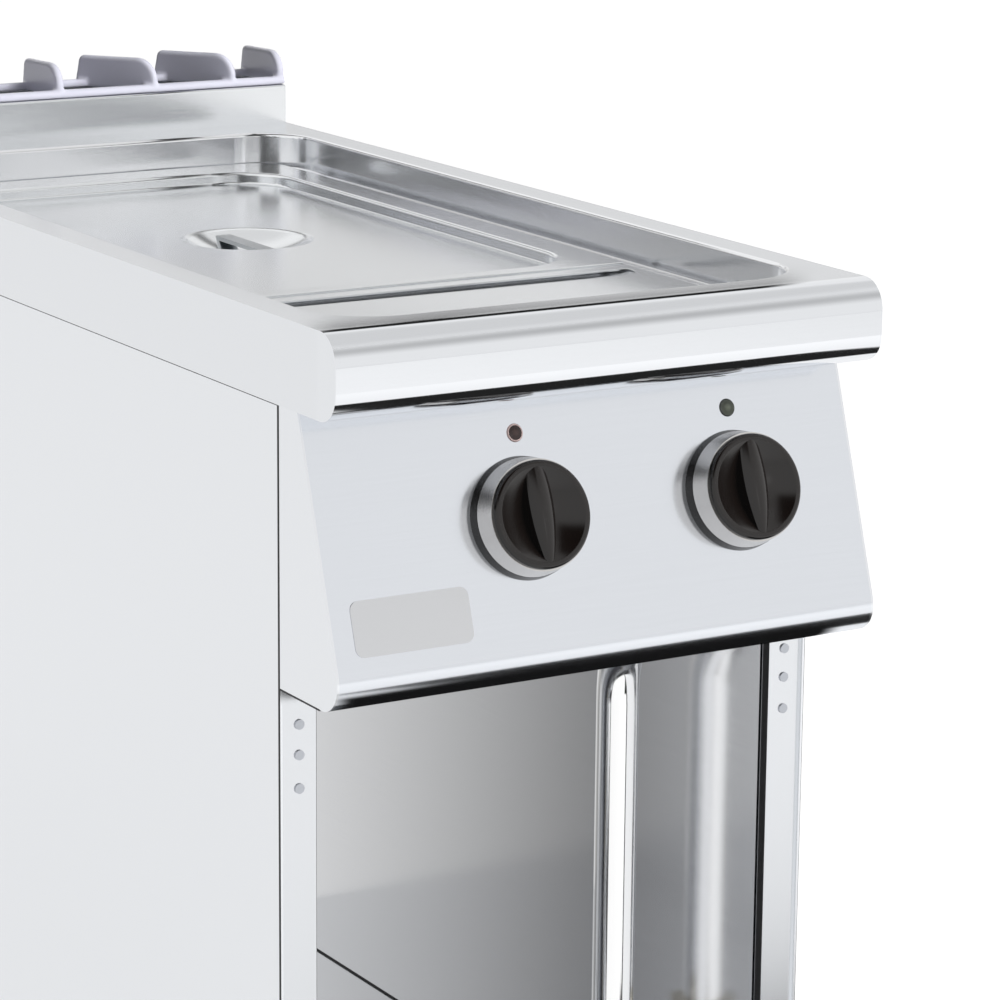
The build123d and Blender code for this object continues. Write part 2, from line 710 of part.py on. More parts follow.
# Knobs: a fixed bezel ring, then a bright skirt, a black cap and a spindle that turn together
for side, knob_x in knob_spots.items():
    seat = Plane(
        origin=panel_face.from_local_coords((knob_x, -knob_down, 0)),
        x_dir=panel_face.x_dir,
        z_dir=panel_face.z_dir,
    )
    lathe = Plane(origin=seat.origin, x_dir=seat.x_dir, z_dir=-seat.y_dir)
    spin = Axis(seat.origin, seat.z_dir)
    with BuildPart() as knob_bezel:
        with BuildSketch(lathe):
            with BuildLine():
                Polyline(
                    (bezel_bore, 0),
                    (bezel_foot, 0),
                    (bezel_rim, bezel_height),
                    (bezel_bore, bezel_height),
                    close=True,
                )
            make_face()
        revolve(axis=spin)
    write(knob_bezel, f"knob_bezel_{side}")

    with BuildPart() as knob_skirt:
        with BuildSketch(lathe):
            with BuildLine():
                Polyline(
                    (skirt_bore, ring_foot),
                    (skirt_foot, ring_foot),
                    (skirt_rim, cap_foot),
                    (skirt_bore, cap_foot),
                    close=True,
                )
            make_face()
        revolve(axis=spin)
    write(knob_skirt, f"knob_skirt_{side}")

    bar_foot = rim_top - bowl_depth - spindle_cover / 2
    bowl_outside = skirt_bore - bowl_play
    bar_reach = bowl_radius + cap_edge / 2
    bar_sections = (
        (-bar_reach, grip_end / 2, crest_top - grip_end_drop),
        (0, grip_middle / 2, crest_top),
        (bar_reach, grip_point / 2, crest_top - grip_end_drop),
    )
    with BuildPart() as grip_bar:
        for along, half, top in bar_sections:
            shoulder = top - grip_crown * half
            foot_half = half + (shoulder - bar_foot) * tan(radians(grip_draft))
            with BuildSketch(lathe.offset(along)):
                with BuildLine():
                    Polyline((half, shoulder), (foot_half, bar_foot), (-foot_half, bar_foot), (-half, shoulder))
                    ThreePointArc((-half, shoulder), (0, top), (half, shoulder))
                make_face()
        loft()
        with BuildSketch(lathe):
            with BuildLine():
                Polyline(
                    (0, bar_foot),
                    (bowl_outside, bar_foot),
                    (bowl_outside, cap_foot),
                    (bar_reach, cap_foot),
                    (bar_reach, crest_top),
                    (0, crest_top),
                    close=True,
                )
            make_face()
        revolve(axis=spin, mode=Mode.INTERSECT)

    bowl_sphere = (bowl_radius**2 + bowl_depth**2) / (2 * bowl_depth)
    bowl_foot = rim_top - bowl_depth - bowl_wall
    with BuildPart() as knob_cap:
        with BuildSketch(lathe) as cap_section:
            with BuildLine():
                Polyline(
                    (0, spindle_top),
                    (spindle_radius, spindle_top),
                    (spindle_radius, turn_gap),
                    (hub_radius, turn_gap),
                    (hub_radius, bowl_foot),
                    (bowl_outside, bowl_foot),
                    (bowl_outside, cap_foot),
                    (cap_radius, cap_foot),
                    (cap_radius, rim_top),
                    (bowl_radius, rim_top),
                )
                RadiusArc((bowl_radius, rim_top), (0, rim_top - bowl_depth), bowl_sphere)
                Line((0, rim_top - bowl_depth), (0, spindle_top))
            make_face()
            rim_corners = cap_section.vertices().group_by(Axis.Y)[-1].sort_by(Axis.X)
            fillet(rim_corners[-1], cap_edge)
            fillet(cap_section.vertices().group_by(Axis.Y)[-1].sort_by(Axis.X)[0], bowl_edge_round)
        revolve(axis=spin)
        add(grip_bar.part)
    write(knob_cap, f"knob_cap_{side}")

    with BuildPart(seat.offset(middle(-spindle_in, spindle_top))) as spindle:
        Cylinder(spindle_radius, spindle_in + spindle_top)
    write(spindle, f"spindle_{side}")

    with BuildPart(seat.offset(-sheet)) as control:
        Cylinder(control_neck, control_standoff, align=(Align.CENTER, Align.CENTER, Align.MAX))
        with Locations((0, 0, -control_standoff)):
            Box(control_box, control_box, control_depth, align=(Align.CENTER, Align.CENTER, Align.MAX))
        Hole(spindle_radius + spindle_play, depth=spindle_in)
    write(control, "thermostat_body" if side == "left" else "switch_body")

    lamp_seat = Plane(
        origin=panel_face.from_local_coords((knob_x + lamp_offset, -lamp_down, 0)),
        x_dir=panel_face.x_dir,
        z_dir=panel_face.z_dir,
    )
    lamp_lathe = Plane(origin=lamp_seat.origin, x_dir=lamp_seat.x_dir, z_dir=-lamp_seat.y_dir)
    lamp_axis = Axis(lamp_seat.origin, lamp_seat.z_dir)
    with BuildPart() as lamp_holder:
        with BuildSketch(lamp_lathe):
            with BuildLine():
                Polyline(
                    (0, -lamp_depth),
                    (lamp_body, -lamp_depth),
                    (lamp_body, -sheet - lamp_nut_height),
                    (lamp_nut, -sheet - lamp_nut_height),
                    (lamp_nut, -sheet),
                    (lamp_body, -sheet),
                    (lamp_body, 0),
                    (lamp_radius, 0),
                    (lens_radius + (lamp_radius - lens_radius) / 2, lamp_proud),
                    (lens_radius, lamp_proud),
                    (lens_radius, -lens_foot),
                    (0, -lens_foot),
                    close=True,
                )
            make_face()
        revolve(axis=lamp_axis)
    write(lamp_holder, f"lamp_holder_{side}")

    with BuildPart() as lamp_lens:
        with BuildSketch(lamp_lathe):
            with BuildLine():
                Polyline(
                    (0, lamp_proud + lens_dome),
                    (0, -lens_foot),
                    (lens_radius, -lens_foot),
                    (lens_radius, lamp_proud),
                )
                dome_sphere = (lens_radius**2 + lens_dome**2) / (2 * lens_dome)
                RadiusArc((lens_radius, lamp_proud), (0, lamp_proud + lens_dome), -dome_sphere)
            make_face()
        revolve(axis=lamp_axis)
    write(lamp_lens, f"lamp_lens_{side}")

# Heating element: one tube bent to and fro under the tank
heater_z = down(tank_bottom) - heater_radius
with BuildPart() as heating_element:
    heater_x = [heater_pitch * (n - 1.5) for n in range(4)]
    front_y = back(tank_front + heater_front)
    turn_y = back(tank_front + heater_turn)
    rear_y = back(tank_rear - heater_rear)
    with BuildLine(Plane.XY.offset(heater_z)) as heater_route:
        FilletPolyline(
            (heater_x[0], front_y),
            (heater_x[0], rear_y),
            (heater_x[1], rear_y),
            (heater_x[1], turn_y),
            (heater_x[2], turn_y),
            (heater_x[2], rear_y),
            (heater_x[3], rear_y),
            (heater_x[3], front_y),
            radius=heater_bend,
        )
    with BuildSketch(Plane(origin=heater_route.line @ 0, z_dir=heater_route.line % 0)):
        Circle(heater_radius)
    sweep(path=heater_route.line)
write(heating_element, "heating_element")

# Clamps: bars under the element, with feet up to the tank's floor
with BuildPart() as heater_clamps:
    clamp_half = 1.5 * heater_pitch + clamp_overhang
    clamp_top = heater_z - heater_radius
    for n in range(clamp_count):
        clamp_y = turn_y + (rear_y - turn_y) * (n + 0.5) / clamp_count
        span = (clamp_y - clamp_width / 2, clamp_y + clamp_width / 2)
        block((-clamp_half, clamp_half), span, (clamp_top - clamp_thick, clamp_top))
        for side in (-1, 1):
            foot_x = tuple(sorted((side * clamp_half, side * (clamp_half - clamp_foot))))
            block(foot_x, span, (clamp_top, down(tank_bottom)))
write(heater_clamps, "heater_clamps")

# Insulation on the shield, open round the drain
with BuildPart() as insulation_mat:
    block(
        (-tank_width / 2, tank_width / 2),
        (back(tank_front), back(tank_rear)),
        (down(shield_drop - inner_sheet), clamp_top - clamp_thick - mat_gap),
    )
    with Locations((drain_x, back(drain_y), clamp_top)):
        Hole(outlet_radius + mat_gap)
write(insulation_mat, "insulation_mat")

# Heat shield: the cabinet's ceiling, lying on the inner walls
with BuildPart() as heat_shield:
    block(
        (-wall_x - inner_sheet, wall_x + inner_sheet),
        (back(cabinet_front + wall_setback), back(wall_rear + inner_sheet)),
        (down(shield_drop), down(shield_drop - inner_sheet)),
    )
    with Locations((drain_x, back(drain_y), down(shield_drop - inner_sheet))):
        Hole(shield_hole)
write(heat_shield, "heat_shield")

# Thermostat sensor through the tank's front wall, sealed by a gland nut
with BuildPart(bulb_plane) as sensor_bulb:
    Cylinder(bulb_radius, bulb_length, align=(Align.CENTER, Align.CENTER, Align.MIN))
    Cylinder(bulb_radius, 2 * gland_thick, align=(Align.CENTER, Align.CENTER, Align.MAX))
    with Locations((0, 0, -tank_sheet)):
        Cylinder(gland_radius, gland_thick, align=(Align.CENTER, Align.CENTER, Align.MAX))
    fillet(sensor_bulb.edges().sort_by(Axis.Y)[-1], bulb_radius * 0.9)
write(sensor_bulb, "sensor_bulb")

# Limit thermostat on the outside of the tank's front wall
limit_plane = Plane(origin=(limit_x, back(tank_front - tank_sheet), down(limit_drop)), z_dir=(0, -1, 0))
with BuildPart(limit_plane) as limit_thermostat:
    Cylinder(limit_radius, limit_depth, align=(Align.CENTER, Align.CENTER, Align.MIN))
    fillet(limit_thermostat.edges().sort_by(Axis.Y)[0], limit_round)
write(limit_thermostat, "limit_thermostat")

# Side panels, back panel and cabinet floor
for side, name in ((-1, "side_panel_left"), (1, "side_panel_right")):
    with BuildPart() as side_panel:
        block(
            tuple(sorted((side * side_inner, side * side_outer))),
            (back(panel_back + cap_seam), back(depth)),
            (down(base_drop), down(skirt + seam)),
        )
    write(side_panel, name)

with BuildPart() as back_panel:
    block(
        (-side_inner, side_inner),
        (back(depth - sheet), back(depth)),
        (down(base_drop), down(skirt + seam)),
    )
write(back_panel, "back_panel")

gland_y = back(depth - rear_void / 2)
with BuildPart() as cabinet_floor:
    block(
        (-side_inner, side_inner),
        (back(cabinet_front), back(depth - sheet)),
        (down(floor_drop + sheet), down(floor_drop)),
    )
    block(
        (-side_inner, side_inner),
        (back(cabinet_front), back(cabinet_front + sheet)),
        (down(base_drop), down(floor_drop)),
    )
    with Locations((pipe_x, back(pipe_y), down(floor_drop))):
        Hole(pipe_radius + tail_hole_gap, depth=2 * sheet)
    with Locations((0, gland_y, down(floor_drop))):
        Hole(cable_hole, depth=2 * sheet)
write(cabinet_floor, "cabinet_floor")

# Uprights: folded channels at the corners, the front ones with a face that shows
post_outer = side_inner - post_gap
post_inner = post_outer - post_width
for side, side_name in ((-1, "left"), (1, "right")):
    across = tuple(sorted((side * post_inner, side * post_outer)))
    outer_web = tuple(sorted((side * (post_outer - sheet), side * post_outer)))
    inner_web = tuple(sorted((side * post_inner, side * (post_inner + sheet))))
    front_span = (down(floor_drop), down(ledge_drop + tank_sheet))
    with BuildPart() as front_post:
        block(across, (back(cabinet_front), back(cabinet_front + sheet)), front_span)
        block(outer_web, (back(cabinet_front + sheet), back(cabinet_front + post_return)), front_span)
        block(inner_web, (back(cabinet_front + sheet), back(cabinet_front + post_inner_return)), front_span)
        for drop in plug_drops:
            hole_plane = Plane(
                origin=(side * middle(post_inner, post_outer), back(cabinet_front), down(drop)),
                z_dir=(0, -1, 0),
            )
            with Locations(hole_plane):
                Hole(plug_stem, depth=2 * sheet)
    write(front_post, f"upright_front_{side_name}")

    rear_span = (down(floor_drop), down(top_sheet))
    post_back = depth - top_sheet
    with BuildPart() as rear_post:
        block(across, (back(post_back - sheet), back(post_back)), rear_span)
        block(outer_web, (back(post_back - post_return), back(post_back - sheet)), rear_span)
    write(rear_post, f"upright_rear_{side_name}")

# Plugs in the front uprights
with BuildPart() as upright_plugs:
    for side in (-1, 1):
        for drop in plug_drops:
            plug_plane = Plane(
                origin=(side * middle(post_inner, post_outer), back(cabinet_front), down(drop)),
                z_dir=(0, -1, 0),
            )
            with Locations(plug_plane):
                Cylinder(plug_radius, plug_head, align=(Align.CENTER, Align.CENTER, Align.MIN))
                Cylinder(plug_stem, 2 * sheet, align=(Align.CENTER, Align.CENTER, Align.MAX))
write(upright_plugs, "upright_plugs")

# Inner walls and inner back of the open cabinet
wall_span = (down(floor_drop), down(shield_drop))
with BuildPart() as inner_walls:
    for side in (-1, 1):
        block(
            tuple(sorted((side * wall_x, side * (wall_x + inner_sheet)))),
            (back(cabinet_front + wall_setback), back(wall_rear)),
            wall_span,
        )
write(inner_walls, "inner_walls")

with BuildPart() as inner_back:
    block(
        (-wall_x - inner_sheet, wall_x + inner_sheet),
        (back(wall_rear), back(wall_rear + inner_sheet)),
        wall_span,
    )
write(inner_back, "inner_back")

# Drain outlet: a spigot in the tank's floor with a socket for the pipe
with BuildPart(Plane.XY.offset(down(tank_drop))) as drain_outlet:
    with Locations((drain_x, back(drain_y), 0)):
        Cylinder(outlet_radius, outlet_drop - tank_drop, align=(Align.CENTER, Align.CENTER, Align.MAX))
        Hole(outlet_bore)
    with Locations((drain_x, back(drain_y), tank_drop - outlet_drop)):
        Cylinder(
            pipe_radius,
            socket_depth,
            align=(Align.CENTER, Align.CENTER, Align.MIN),
            mode=Mode.SUBTRACT,
        )
write(drain_outlet, "drain_outlet")

# Drain pipe: down from the outlet, set over towards the side wall, then straight to the valve
with BuildPart() as drain_pipe:
    pipe_top = (drain_x, back(drain_y), down(outlet_drop - socket_depth))
    with BuildLine() as pipe_route:
        FilletPolyline(
            pipe_top,
            (drain_x, back(drain_y), down(bend_top_drop)),
            (pipe_x, back(pipe_y), down(bend_low_drop)),
            (pipe_x, back(pipe_y), down(valve_drop)),
            radius=pipe_bend,
        )
    with BuildSketch(Plane(origin=pipe_top, z_dir=(0, 0, -1))):
        Circle(pipe_radius)
        Circle(pipe_radius - pipe_wall, mode=Mode.SUBTRACT)
    sweep(path=pipe_route.line)
write(drain_pipe, "drain_pipe")

# Ball valve: a body with hexagon ends, a ball on its stem, and a lever with a grip
ball_z = down(valve_drop + valve_length / 2)
stem_end = stem_reach + lever_gap + 2 * lever_thick
stem_plane = Plane(origin=(pipe_x, back(pipe_y), ball_z), x_dir=(-1, 0, 0), z_dir=(0, -1, 0))
with BuildPart() as valve_body:
    with Locations((pipe_x, back(pipe_y), ball_z)):
        Cylinder(valve_radius, valve_length)
    for hex_foot in (down(valve_drop + valve_length), down(valve_drop + valve_hex_height)):
        with BuildSketch(Plane.XY.offset(hex_foot)):
            with Locations((pipe_x, back(pipe_y))):
                RegularPolygon(valve_hex, 6)
        extrude(amount=valve_hex_height)
    with Locations(stem_plane):
        Cylinder(stem_boss, stem_reach, align=(Align.CENTER, Align.CENTER, Align.MIN))
        Cylinder(
            stem_radius + ball_play,
            stem_reach,
            align=(Align.CENTER, Align.CENTER, Align.MIN),
            mode=Mode.SUBTRACT,
        )
    with Locations((pipe_x, back(pipe_y), ball_z)):
        Cylinder(ball_bore, valve_length, mode=Mode.SUBTRACT)
        Sphere(ball_radius + ball_play, mode=Mode.SUBTRACT)
write(valve_body, "valve_body")

with BuildPart(stem_plane) as valve_ball:
    Sphere(ball_radius)
    Cylinder(ball_bore, 3 * ball_radius, rotation=(0, 90, 0), mode=Mode.SUBTRACT)
    with Locations((0, 0, ball_bore + stem_root)):
        Cylinder(stem_radius, stem_end - ball_bore - stem_root, align=(Align.CENTER, Align.CENTER, Align.MIN))
write(valve_ball, "valve_ball")

lever_plane = stem_plane.offset(stem_reach + lever_gap)
with BuildPart() as valve_lever:
    with BuildSketch(lever_plane):
        with Locations((lever_length / 2 - lever_width / 2, 0)):
            SlotOverall(lever_length, lever_width)
        Circle(stem_radius, mode=Mode.SUBTRACT)
    extrude(amount=lever_thick)
write(valve_lever, "valve_lever")

with BuildPart() as lever_grip:
    grip_end = lever_length - lever_width / 2 + grip_wall
    with BuildSketch(lever_plane.offset(-grip_wall)):
        with Locations((grip_end - grip_length / 2, 0)):
            RectangleRounded(grip_length, lever_width + 2 * grip_wall, lever_width / 3)
    extrude(amount=lever_thick + 2 * grip_wall)
    with BuildSketch(lever_plane):
        with Locations((lever_length / 2 - lever_width / 2, 0)):
            SlotOverall(lever_length, lever_width)
    extrude(amount=lever_thick, mode=Mode.SUBTRACT)
write(lever_grip, "lever_grip")

# Tail pipe through the cabinet's floor, with a spigot for a hose
with BuildPart(Plane.XY.offset(down(valve_drop + valve_length))) as drain_tail:
    tail_length = base_drop + tail_below - valve_drop - valve_length
    with Locations((pipe_x, back(pipe_y), 0)):
        Cylinder(pipe_radius, tail_length, align=(Align.CENTER, Align.CENTER, Align.MAX))
    with Locations((pipe_x, back(pipe_y), -tail_length)):
        Cylinder(spigot_radius, spigot_length, align=(Align.CENTER, Align.CENTER, Align.MAX))
    with Locations((pipe_x, back(pipe_y), 0)):
        Hole(spigot_radius - pipe_wall)
write(drain_tail, "drain_tail")

# Terminal box on the back panel, and the cable gland in the floor below it
with BuildPart() as terminal_box:
    box_foot = down(floor_drop - box_above_floor)
    block(
        (-box_width / 2, box_width / 2),
        (back(depth - sheet - box_depth), back(depth - sheet)),
        (box_foot, box_foot + box_height),
    )
    fillet(terminal_box.edges().filter_by(Axis.Y), box_corner)
write(terminal_box, "terminal_box")

with BuildPart(Plane.XY.offset(down(floor_drop))) as cable_gland:
    with BuildSketch(Plane.XY.offset(down(floor_drop))):
        with Locations((0, gland_y)):
            RegularPolygon(cable_nut, 6)
    extrude(amount=cable_nut_height)
    with Locations((0, gland_y, 0)):
        Cylinder(cable_hole, sheet, align=(Align.CENTER, Align.CENTER, Align.MAX))
    with Locations((0, gland_y, -sheet)):
        Cylinder(cable_body, cable_body_height, align=(Align.CENTER, Align.CENTER, Align.MAX))
    with Locations((0, gland_y, cable_nut_height)):
        Hole(cable_bore)
write(cable_gland, "cable_gland")

# Base rails: two tubes under the floor, each carrying two legs
rail_x = side_inner - rail_inset - rail_tube_width / 2
with BuildPart() as base_rails:
    for side in (-1, 1):
        rail_from, rail_to = back(cabinet_front + rail_end_gap), back(depth - sheet - rail_end_gap)
        span_x = (side * rail_x - rail_tube_width / 2, side * rail_x + rail_tube_width / 2)
        block(span_x, (rail_from, rail_to), (down(base_drop), down(floor_drop + sheet)))
        block(
            (span_x[0] + rail_tube_wall, span_x[1] - rail_tube_wall),
            (rail_from, rail_to),
            (down(base_drop - rail_tube_wall), down(floor_drop + sheet + rail_tube_wall)),
            mode=Mode.SUBTRACT,
        )
write(base_rails, "base_rails")

# Legs, and the feet that screw out of them
leg_spots = {
    "front_left": (-rail_x, back(leg_front)),
    "front_right": (rail_x, back(leg_front)),
    "rear_left": (-rail_x, back(depth - leg_rear)),
    "rear_right": (rail_x, back(depth - leg_rear)),
}
leg_length = worktop_height - base_drop - foot_height
with BuildPart(Plane.XY.offset(down(base_drop))) as legs:
    with Locations(*[(x, y, 0) for x, y in leg_spots.values()]):
        Cylinder(leg_radius, leg_length, align=(Align.CENTER, Align.CENTER, Align.MAX))
    with Locations(*[(x, y, 0) for x, y in leg_spots.values()]):
        Hole(leg_bore)
write(legs, "legs")

for name, (leg_x, leg_y) in leg_spots.items():
    with BuildPart() as foot:
        with BuildSketch(Plane(origin=(leg_x, leg_y, 0), x_dir=(1, 0, 0), z_dir=(0, -1, 0))):
            with BuildLine():
                foot_top = foot_height - foot_gap
                Polyline(
                    (0, 0),
                    (foot_radius, 0),
                    (foot_radius, foot_pad),
                    (foot_neck, foot_pad + (foot_radius - foot_neck)),
                    (foot_neck, foot_top),
                    (leg_bore - stem_play, foot_top),
                    (leg_bore - stem_play, foot_height + foot_stem),
                    (0, foot_height + foot_stem),
                    close=True,
                )
            make_face()
        revolve(axis=Axis((leg_x, leg_y, 0), (0, 0, 1)))
    write(foot, f"foot_{name}")
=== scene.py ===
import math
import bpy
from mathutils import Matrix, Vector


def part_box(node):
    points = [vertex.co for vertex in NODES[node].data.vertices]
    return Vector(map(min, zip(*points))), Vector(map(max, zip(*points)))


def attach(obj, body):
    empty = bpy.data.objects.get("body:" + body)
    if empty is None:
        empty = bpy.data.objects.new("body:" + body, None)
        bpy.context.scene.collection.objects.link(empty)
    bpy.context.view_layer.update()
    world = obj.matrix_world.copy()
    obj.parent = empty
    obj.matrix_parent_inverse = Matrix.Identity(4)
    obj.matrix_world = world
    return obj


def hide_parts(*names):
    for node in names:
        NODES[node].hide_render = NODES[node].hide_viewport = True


bl_info = {
    "name": "Bain-marie finishes",
    "version": (1, 0, 0),
    "blender": (4, 5, 0),
    "location": "3D View > Sidebar > Bain-marie",
    "description": "Finishes, small fittings and a studio stage for a free-standing bain-marie",
    "category": "Object",
}

import bmesh
import bpy
from bpy.props import FloatProperty, FloatVectorProperty, IntProperty, PointerProperty
from mathutils import Matrix, Vector

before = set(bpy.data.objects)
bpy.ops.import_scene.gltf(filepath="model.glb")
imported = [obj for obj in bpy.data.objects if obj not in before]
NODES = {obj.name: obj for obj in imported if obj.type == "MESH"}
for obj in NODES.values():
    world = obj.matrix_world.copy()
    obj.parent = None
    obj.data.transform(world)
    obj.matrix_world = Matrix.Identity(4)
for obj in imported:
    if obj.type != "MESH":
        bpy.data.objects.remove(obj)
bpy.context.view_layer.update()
MM = 0.001
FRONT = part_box("worktop")[0].y
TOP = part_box("worktop")[1].z

# Streaks of a ground sheet: their length for their width, how much they roughen the sheet, and their bump
STREAK_LENGTH = 60
STREAK_ROUGHNESS = 0.03
STREAK_BUMP = 0.5
# The bullnose's polish runs out between these distances behind its front.
POLISH_ENDS = (20 * MM, 26 * MM)
# The lathe leaves finer streaks on the legs than the belt leaves on the sheets.
LEG_GRAIN = 0.6 * MM
# Skin of moulded plastic: the least and the most that it adds to the roughness, and its bump
SKIN_ROUGHNESS = (-0.04, 0.06)
SKIN_BUMP = 0.4
# A lens is painted pale within this share of its radius, as painted light, and darker towards its rim, as
# painted shade; its facets are this wide.
LENS_PAINTED_CORE = 0.45
LENS_FACET = 0.9 * MM
# The corners of a bar, in the order that add_bars makes them, for each of its faces
BAR_FACES = ((0, 1, 3, 2), (4, 6, 7, 5), (0, 4, 5, 1), (2, 3, 7, 6), (0, 2, 6, 4), (1, 5, 7, 3))
# The lamps' side, in metres, and the height that they point at
LAMP_SIZE = 2.5
LAMP_AIM = 0.6
SENSOR_WIDTH = 36


def linear(code):
    """Scene-linear RGBA of an sRGB hex colour."""
    shades = [int(code[i : i + 2], 16) / 255 for i in (0, 2, 4)]
    return tuple(s / 12.92 if s <= 0.04045 else ((s + 0.055) / 1.055) ** 2.4 for s in shades) + (1.0,)


def colour_prop(name, code, description):
    return FloatVectorProperty(
        name=name, description=description, subtype="COLOR", size=4, min=0, max=1, default=linear(code)
    )


def length_prop(name, millimetres, description):
    return FloatProperty(name=name, description=description, unit="LENGTH", default=millimetres * MM)


def angle_prop(name, degrees, description):
    return FloatProperty(name=name, description=description, subtype="ANGLE", default=math.radians(degrees))


class SteelFinish(bpy.types.PropertyGroup):
    worktop: colour_prop("Worktop", "E3E5E8", "Ground sheet of the worktop and the divider bar")
    riser: colour_prop("Riser", "EAECEE", "Ground sheet of the riser")
    well: colour_prop("Well", "EDEEF0", "Pressed steel of the well and its false bottom")
    lid: colour_prop("Lid", "E9EBED", "Satin sheet of the lid, the pan and the cover")
    handle: colour_prop("Handle", "B0B3B5", "Bent strap of the lid's handle")
    panel: colour_prop("Panel", "DCDFE4", "Ground sheet of the control panel")
    side: colour_prop("Sides", "E6E8EB", "Side panels, back and panel ends")
    # Painted shade: a darker copy of the sides' steel
    upright: colour_prop("Uprights", "D9DBDE", "Front uprights of the cabinet")
    cabinet: colour_prop("Cabinet", "F0F1F3", "Sheet inside the cabinet, rear uprights and base rails")
    # Painted shade: the cabinet's floor in a darker copy of the cabinet's sheet
    tray_painted_shade: colour_prop("Cabinet floor", "E7E8EA", "Sheet of the cabinet's floor")
    leg: colour_prop("Legs", "C4C6C9", "Turned tube of the legs")
    pipe: colour_prop("Pipe", "F4F4F4", "Polished tube of the drain")
    nickel: colour_prop("Nickel", "C9C4B8", "Plating of the drain valve")
    oxide: colour_prop("Oxide", "5A5450", "Heat-darkened sheath of the heater")
    grain: length_prop("Grain", 1.2, "Width of the broadest streaks that the belt left")


class TrimFinish(bpy.types.PropertyGroup):
    enamel: colour_prop("Grille", "E2E2F0", "Enamel of the cast grille")
    casting_voxel: length_prop("Casting detail", 1.1, "Size of the cells that the casting is softened with")
    casting_rounds: IntProperty(name="Casting rounds", description="Passes of softening", default=8, min=0)
    knob: colour_prop("Knob", "120D0B", "Moulded knob caps")
    bezel: colour_prop("Bezel", "120E0C", "Rings under the knobs")
    chrome: colour_prop("Chrome", "CCCAC8", "Bright skirts of the knobs")
    # Lens colours, painted light and shade: the middle is painted pale, the rim dark
    red_lens_painted_light: colour_prop("Red lens", "60443F", "Middle of the left pilot lamp")
    red_rim_painted_shade: colour_prop("Red rim", "2A1613", "Rim of the left pilot lamp")
    green_lens_painted_light: colour_prop("Green lens", "8A927E", "Middle of the right pilot lamp")
    green_rim_painted_shade: colour_prop("Green rim", "3C4136", "Rim of the right pilot lamp")
    red_ring: colour_prop("Red ring", "CDB4B0", "Holder of the left lamp")
    dark_ring: colour_prop("Dark ring", "3A3D38", "Holder of the right lamp")
    badge: colour_prop("Badge", "D6D7D9", "Blank plate on the panel")
    plug: colour_prop("Plugs", "BEC1C7", "Caps in the uprights' holes")
    # Painted shadow: the colour of the dark strips in the cabinet's joints
    joint_shadow: colour_prop("Sealant", "2E2E30", "Sealant in the cabinet's joints")
    rubber: colour_prop("Grip", "1D1D1E", "Lever grip, cable gland and feet")
    plastic: colour_prop("Housings", "CFCBC0", "Housings behind the panel")
    wool: colour_prop("Wool", "D8D0B8", "Insulation under the well")


class StageSetting(bpy.types.PropertyGroup):
    camera_x: length_prop("Camera X", -1283.0, "Camera to the left of the middle")
    camera_y: length_prop("Camera Y", -2009.1, "Camera in front of the bullnose")
    camera_z: length_prop("Camera Z", 444.7, "Camera above the worktop")
    yaw: angle_prop("Yaw", 30.794, "Turn to the right")
    pitch: angle_prop("Pitch", 13.401, "Tilt down")
    roll: angle_prop("Roll", 0.5376, "Turn about the view")
    lens: FloatProperty(name="Lens", description="Focal length", unit="CAMERA", default=141.11)
    floor: colour_prop("Floor", "F2F2F2", "Plain floor")
    floor_size: length_prop("Floor size", 30000.0, "Side of the floor")
    key_power: FloatProperty(name="Key", description="Lamp at the front right", unit="POWER", default=220.0)
    fill_power: FloatProperty(name="Fill", description="Lamp at the front left", unit="POWER", default=3.0)
    sky: FloatProperty(name="Sky", description="Level of the even light", default=0.1, min=0)


def add_node(tree, kind, inputs=None, **settings):
    """Add a node. inputs maps a socket to a value, or to the output that it is linked to."""
    node = tree.nodes.new(kind)
    for name, value in settings.items():
        setattr(node, name, value)
    for socket, value in (inputs or {}).items():
        if isinstance(value, bpy.types.NodeSocket):
            tree.links.new(value, node.inputs[socket])
        else:
            node.inputs[socket].default_value = value
    return node


def new_material(name):
    material = bpy.data.materials.new(name)
    material.use_nodes = True
    return material, material.node_tree, material.node_tree.nodes["Principled BSDF"]


def dress(material, *names):
    """Give these CAD nodes one material."""
    for name in names:
        NODES[name].data.materials.clear()
        NODES[name].data.materials.append(material)


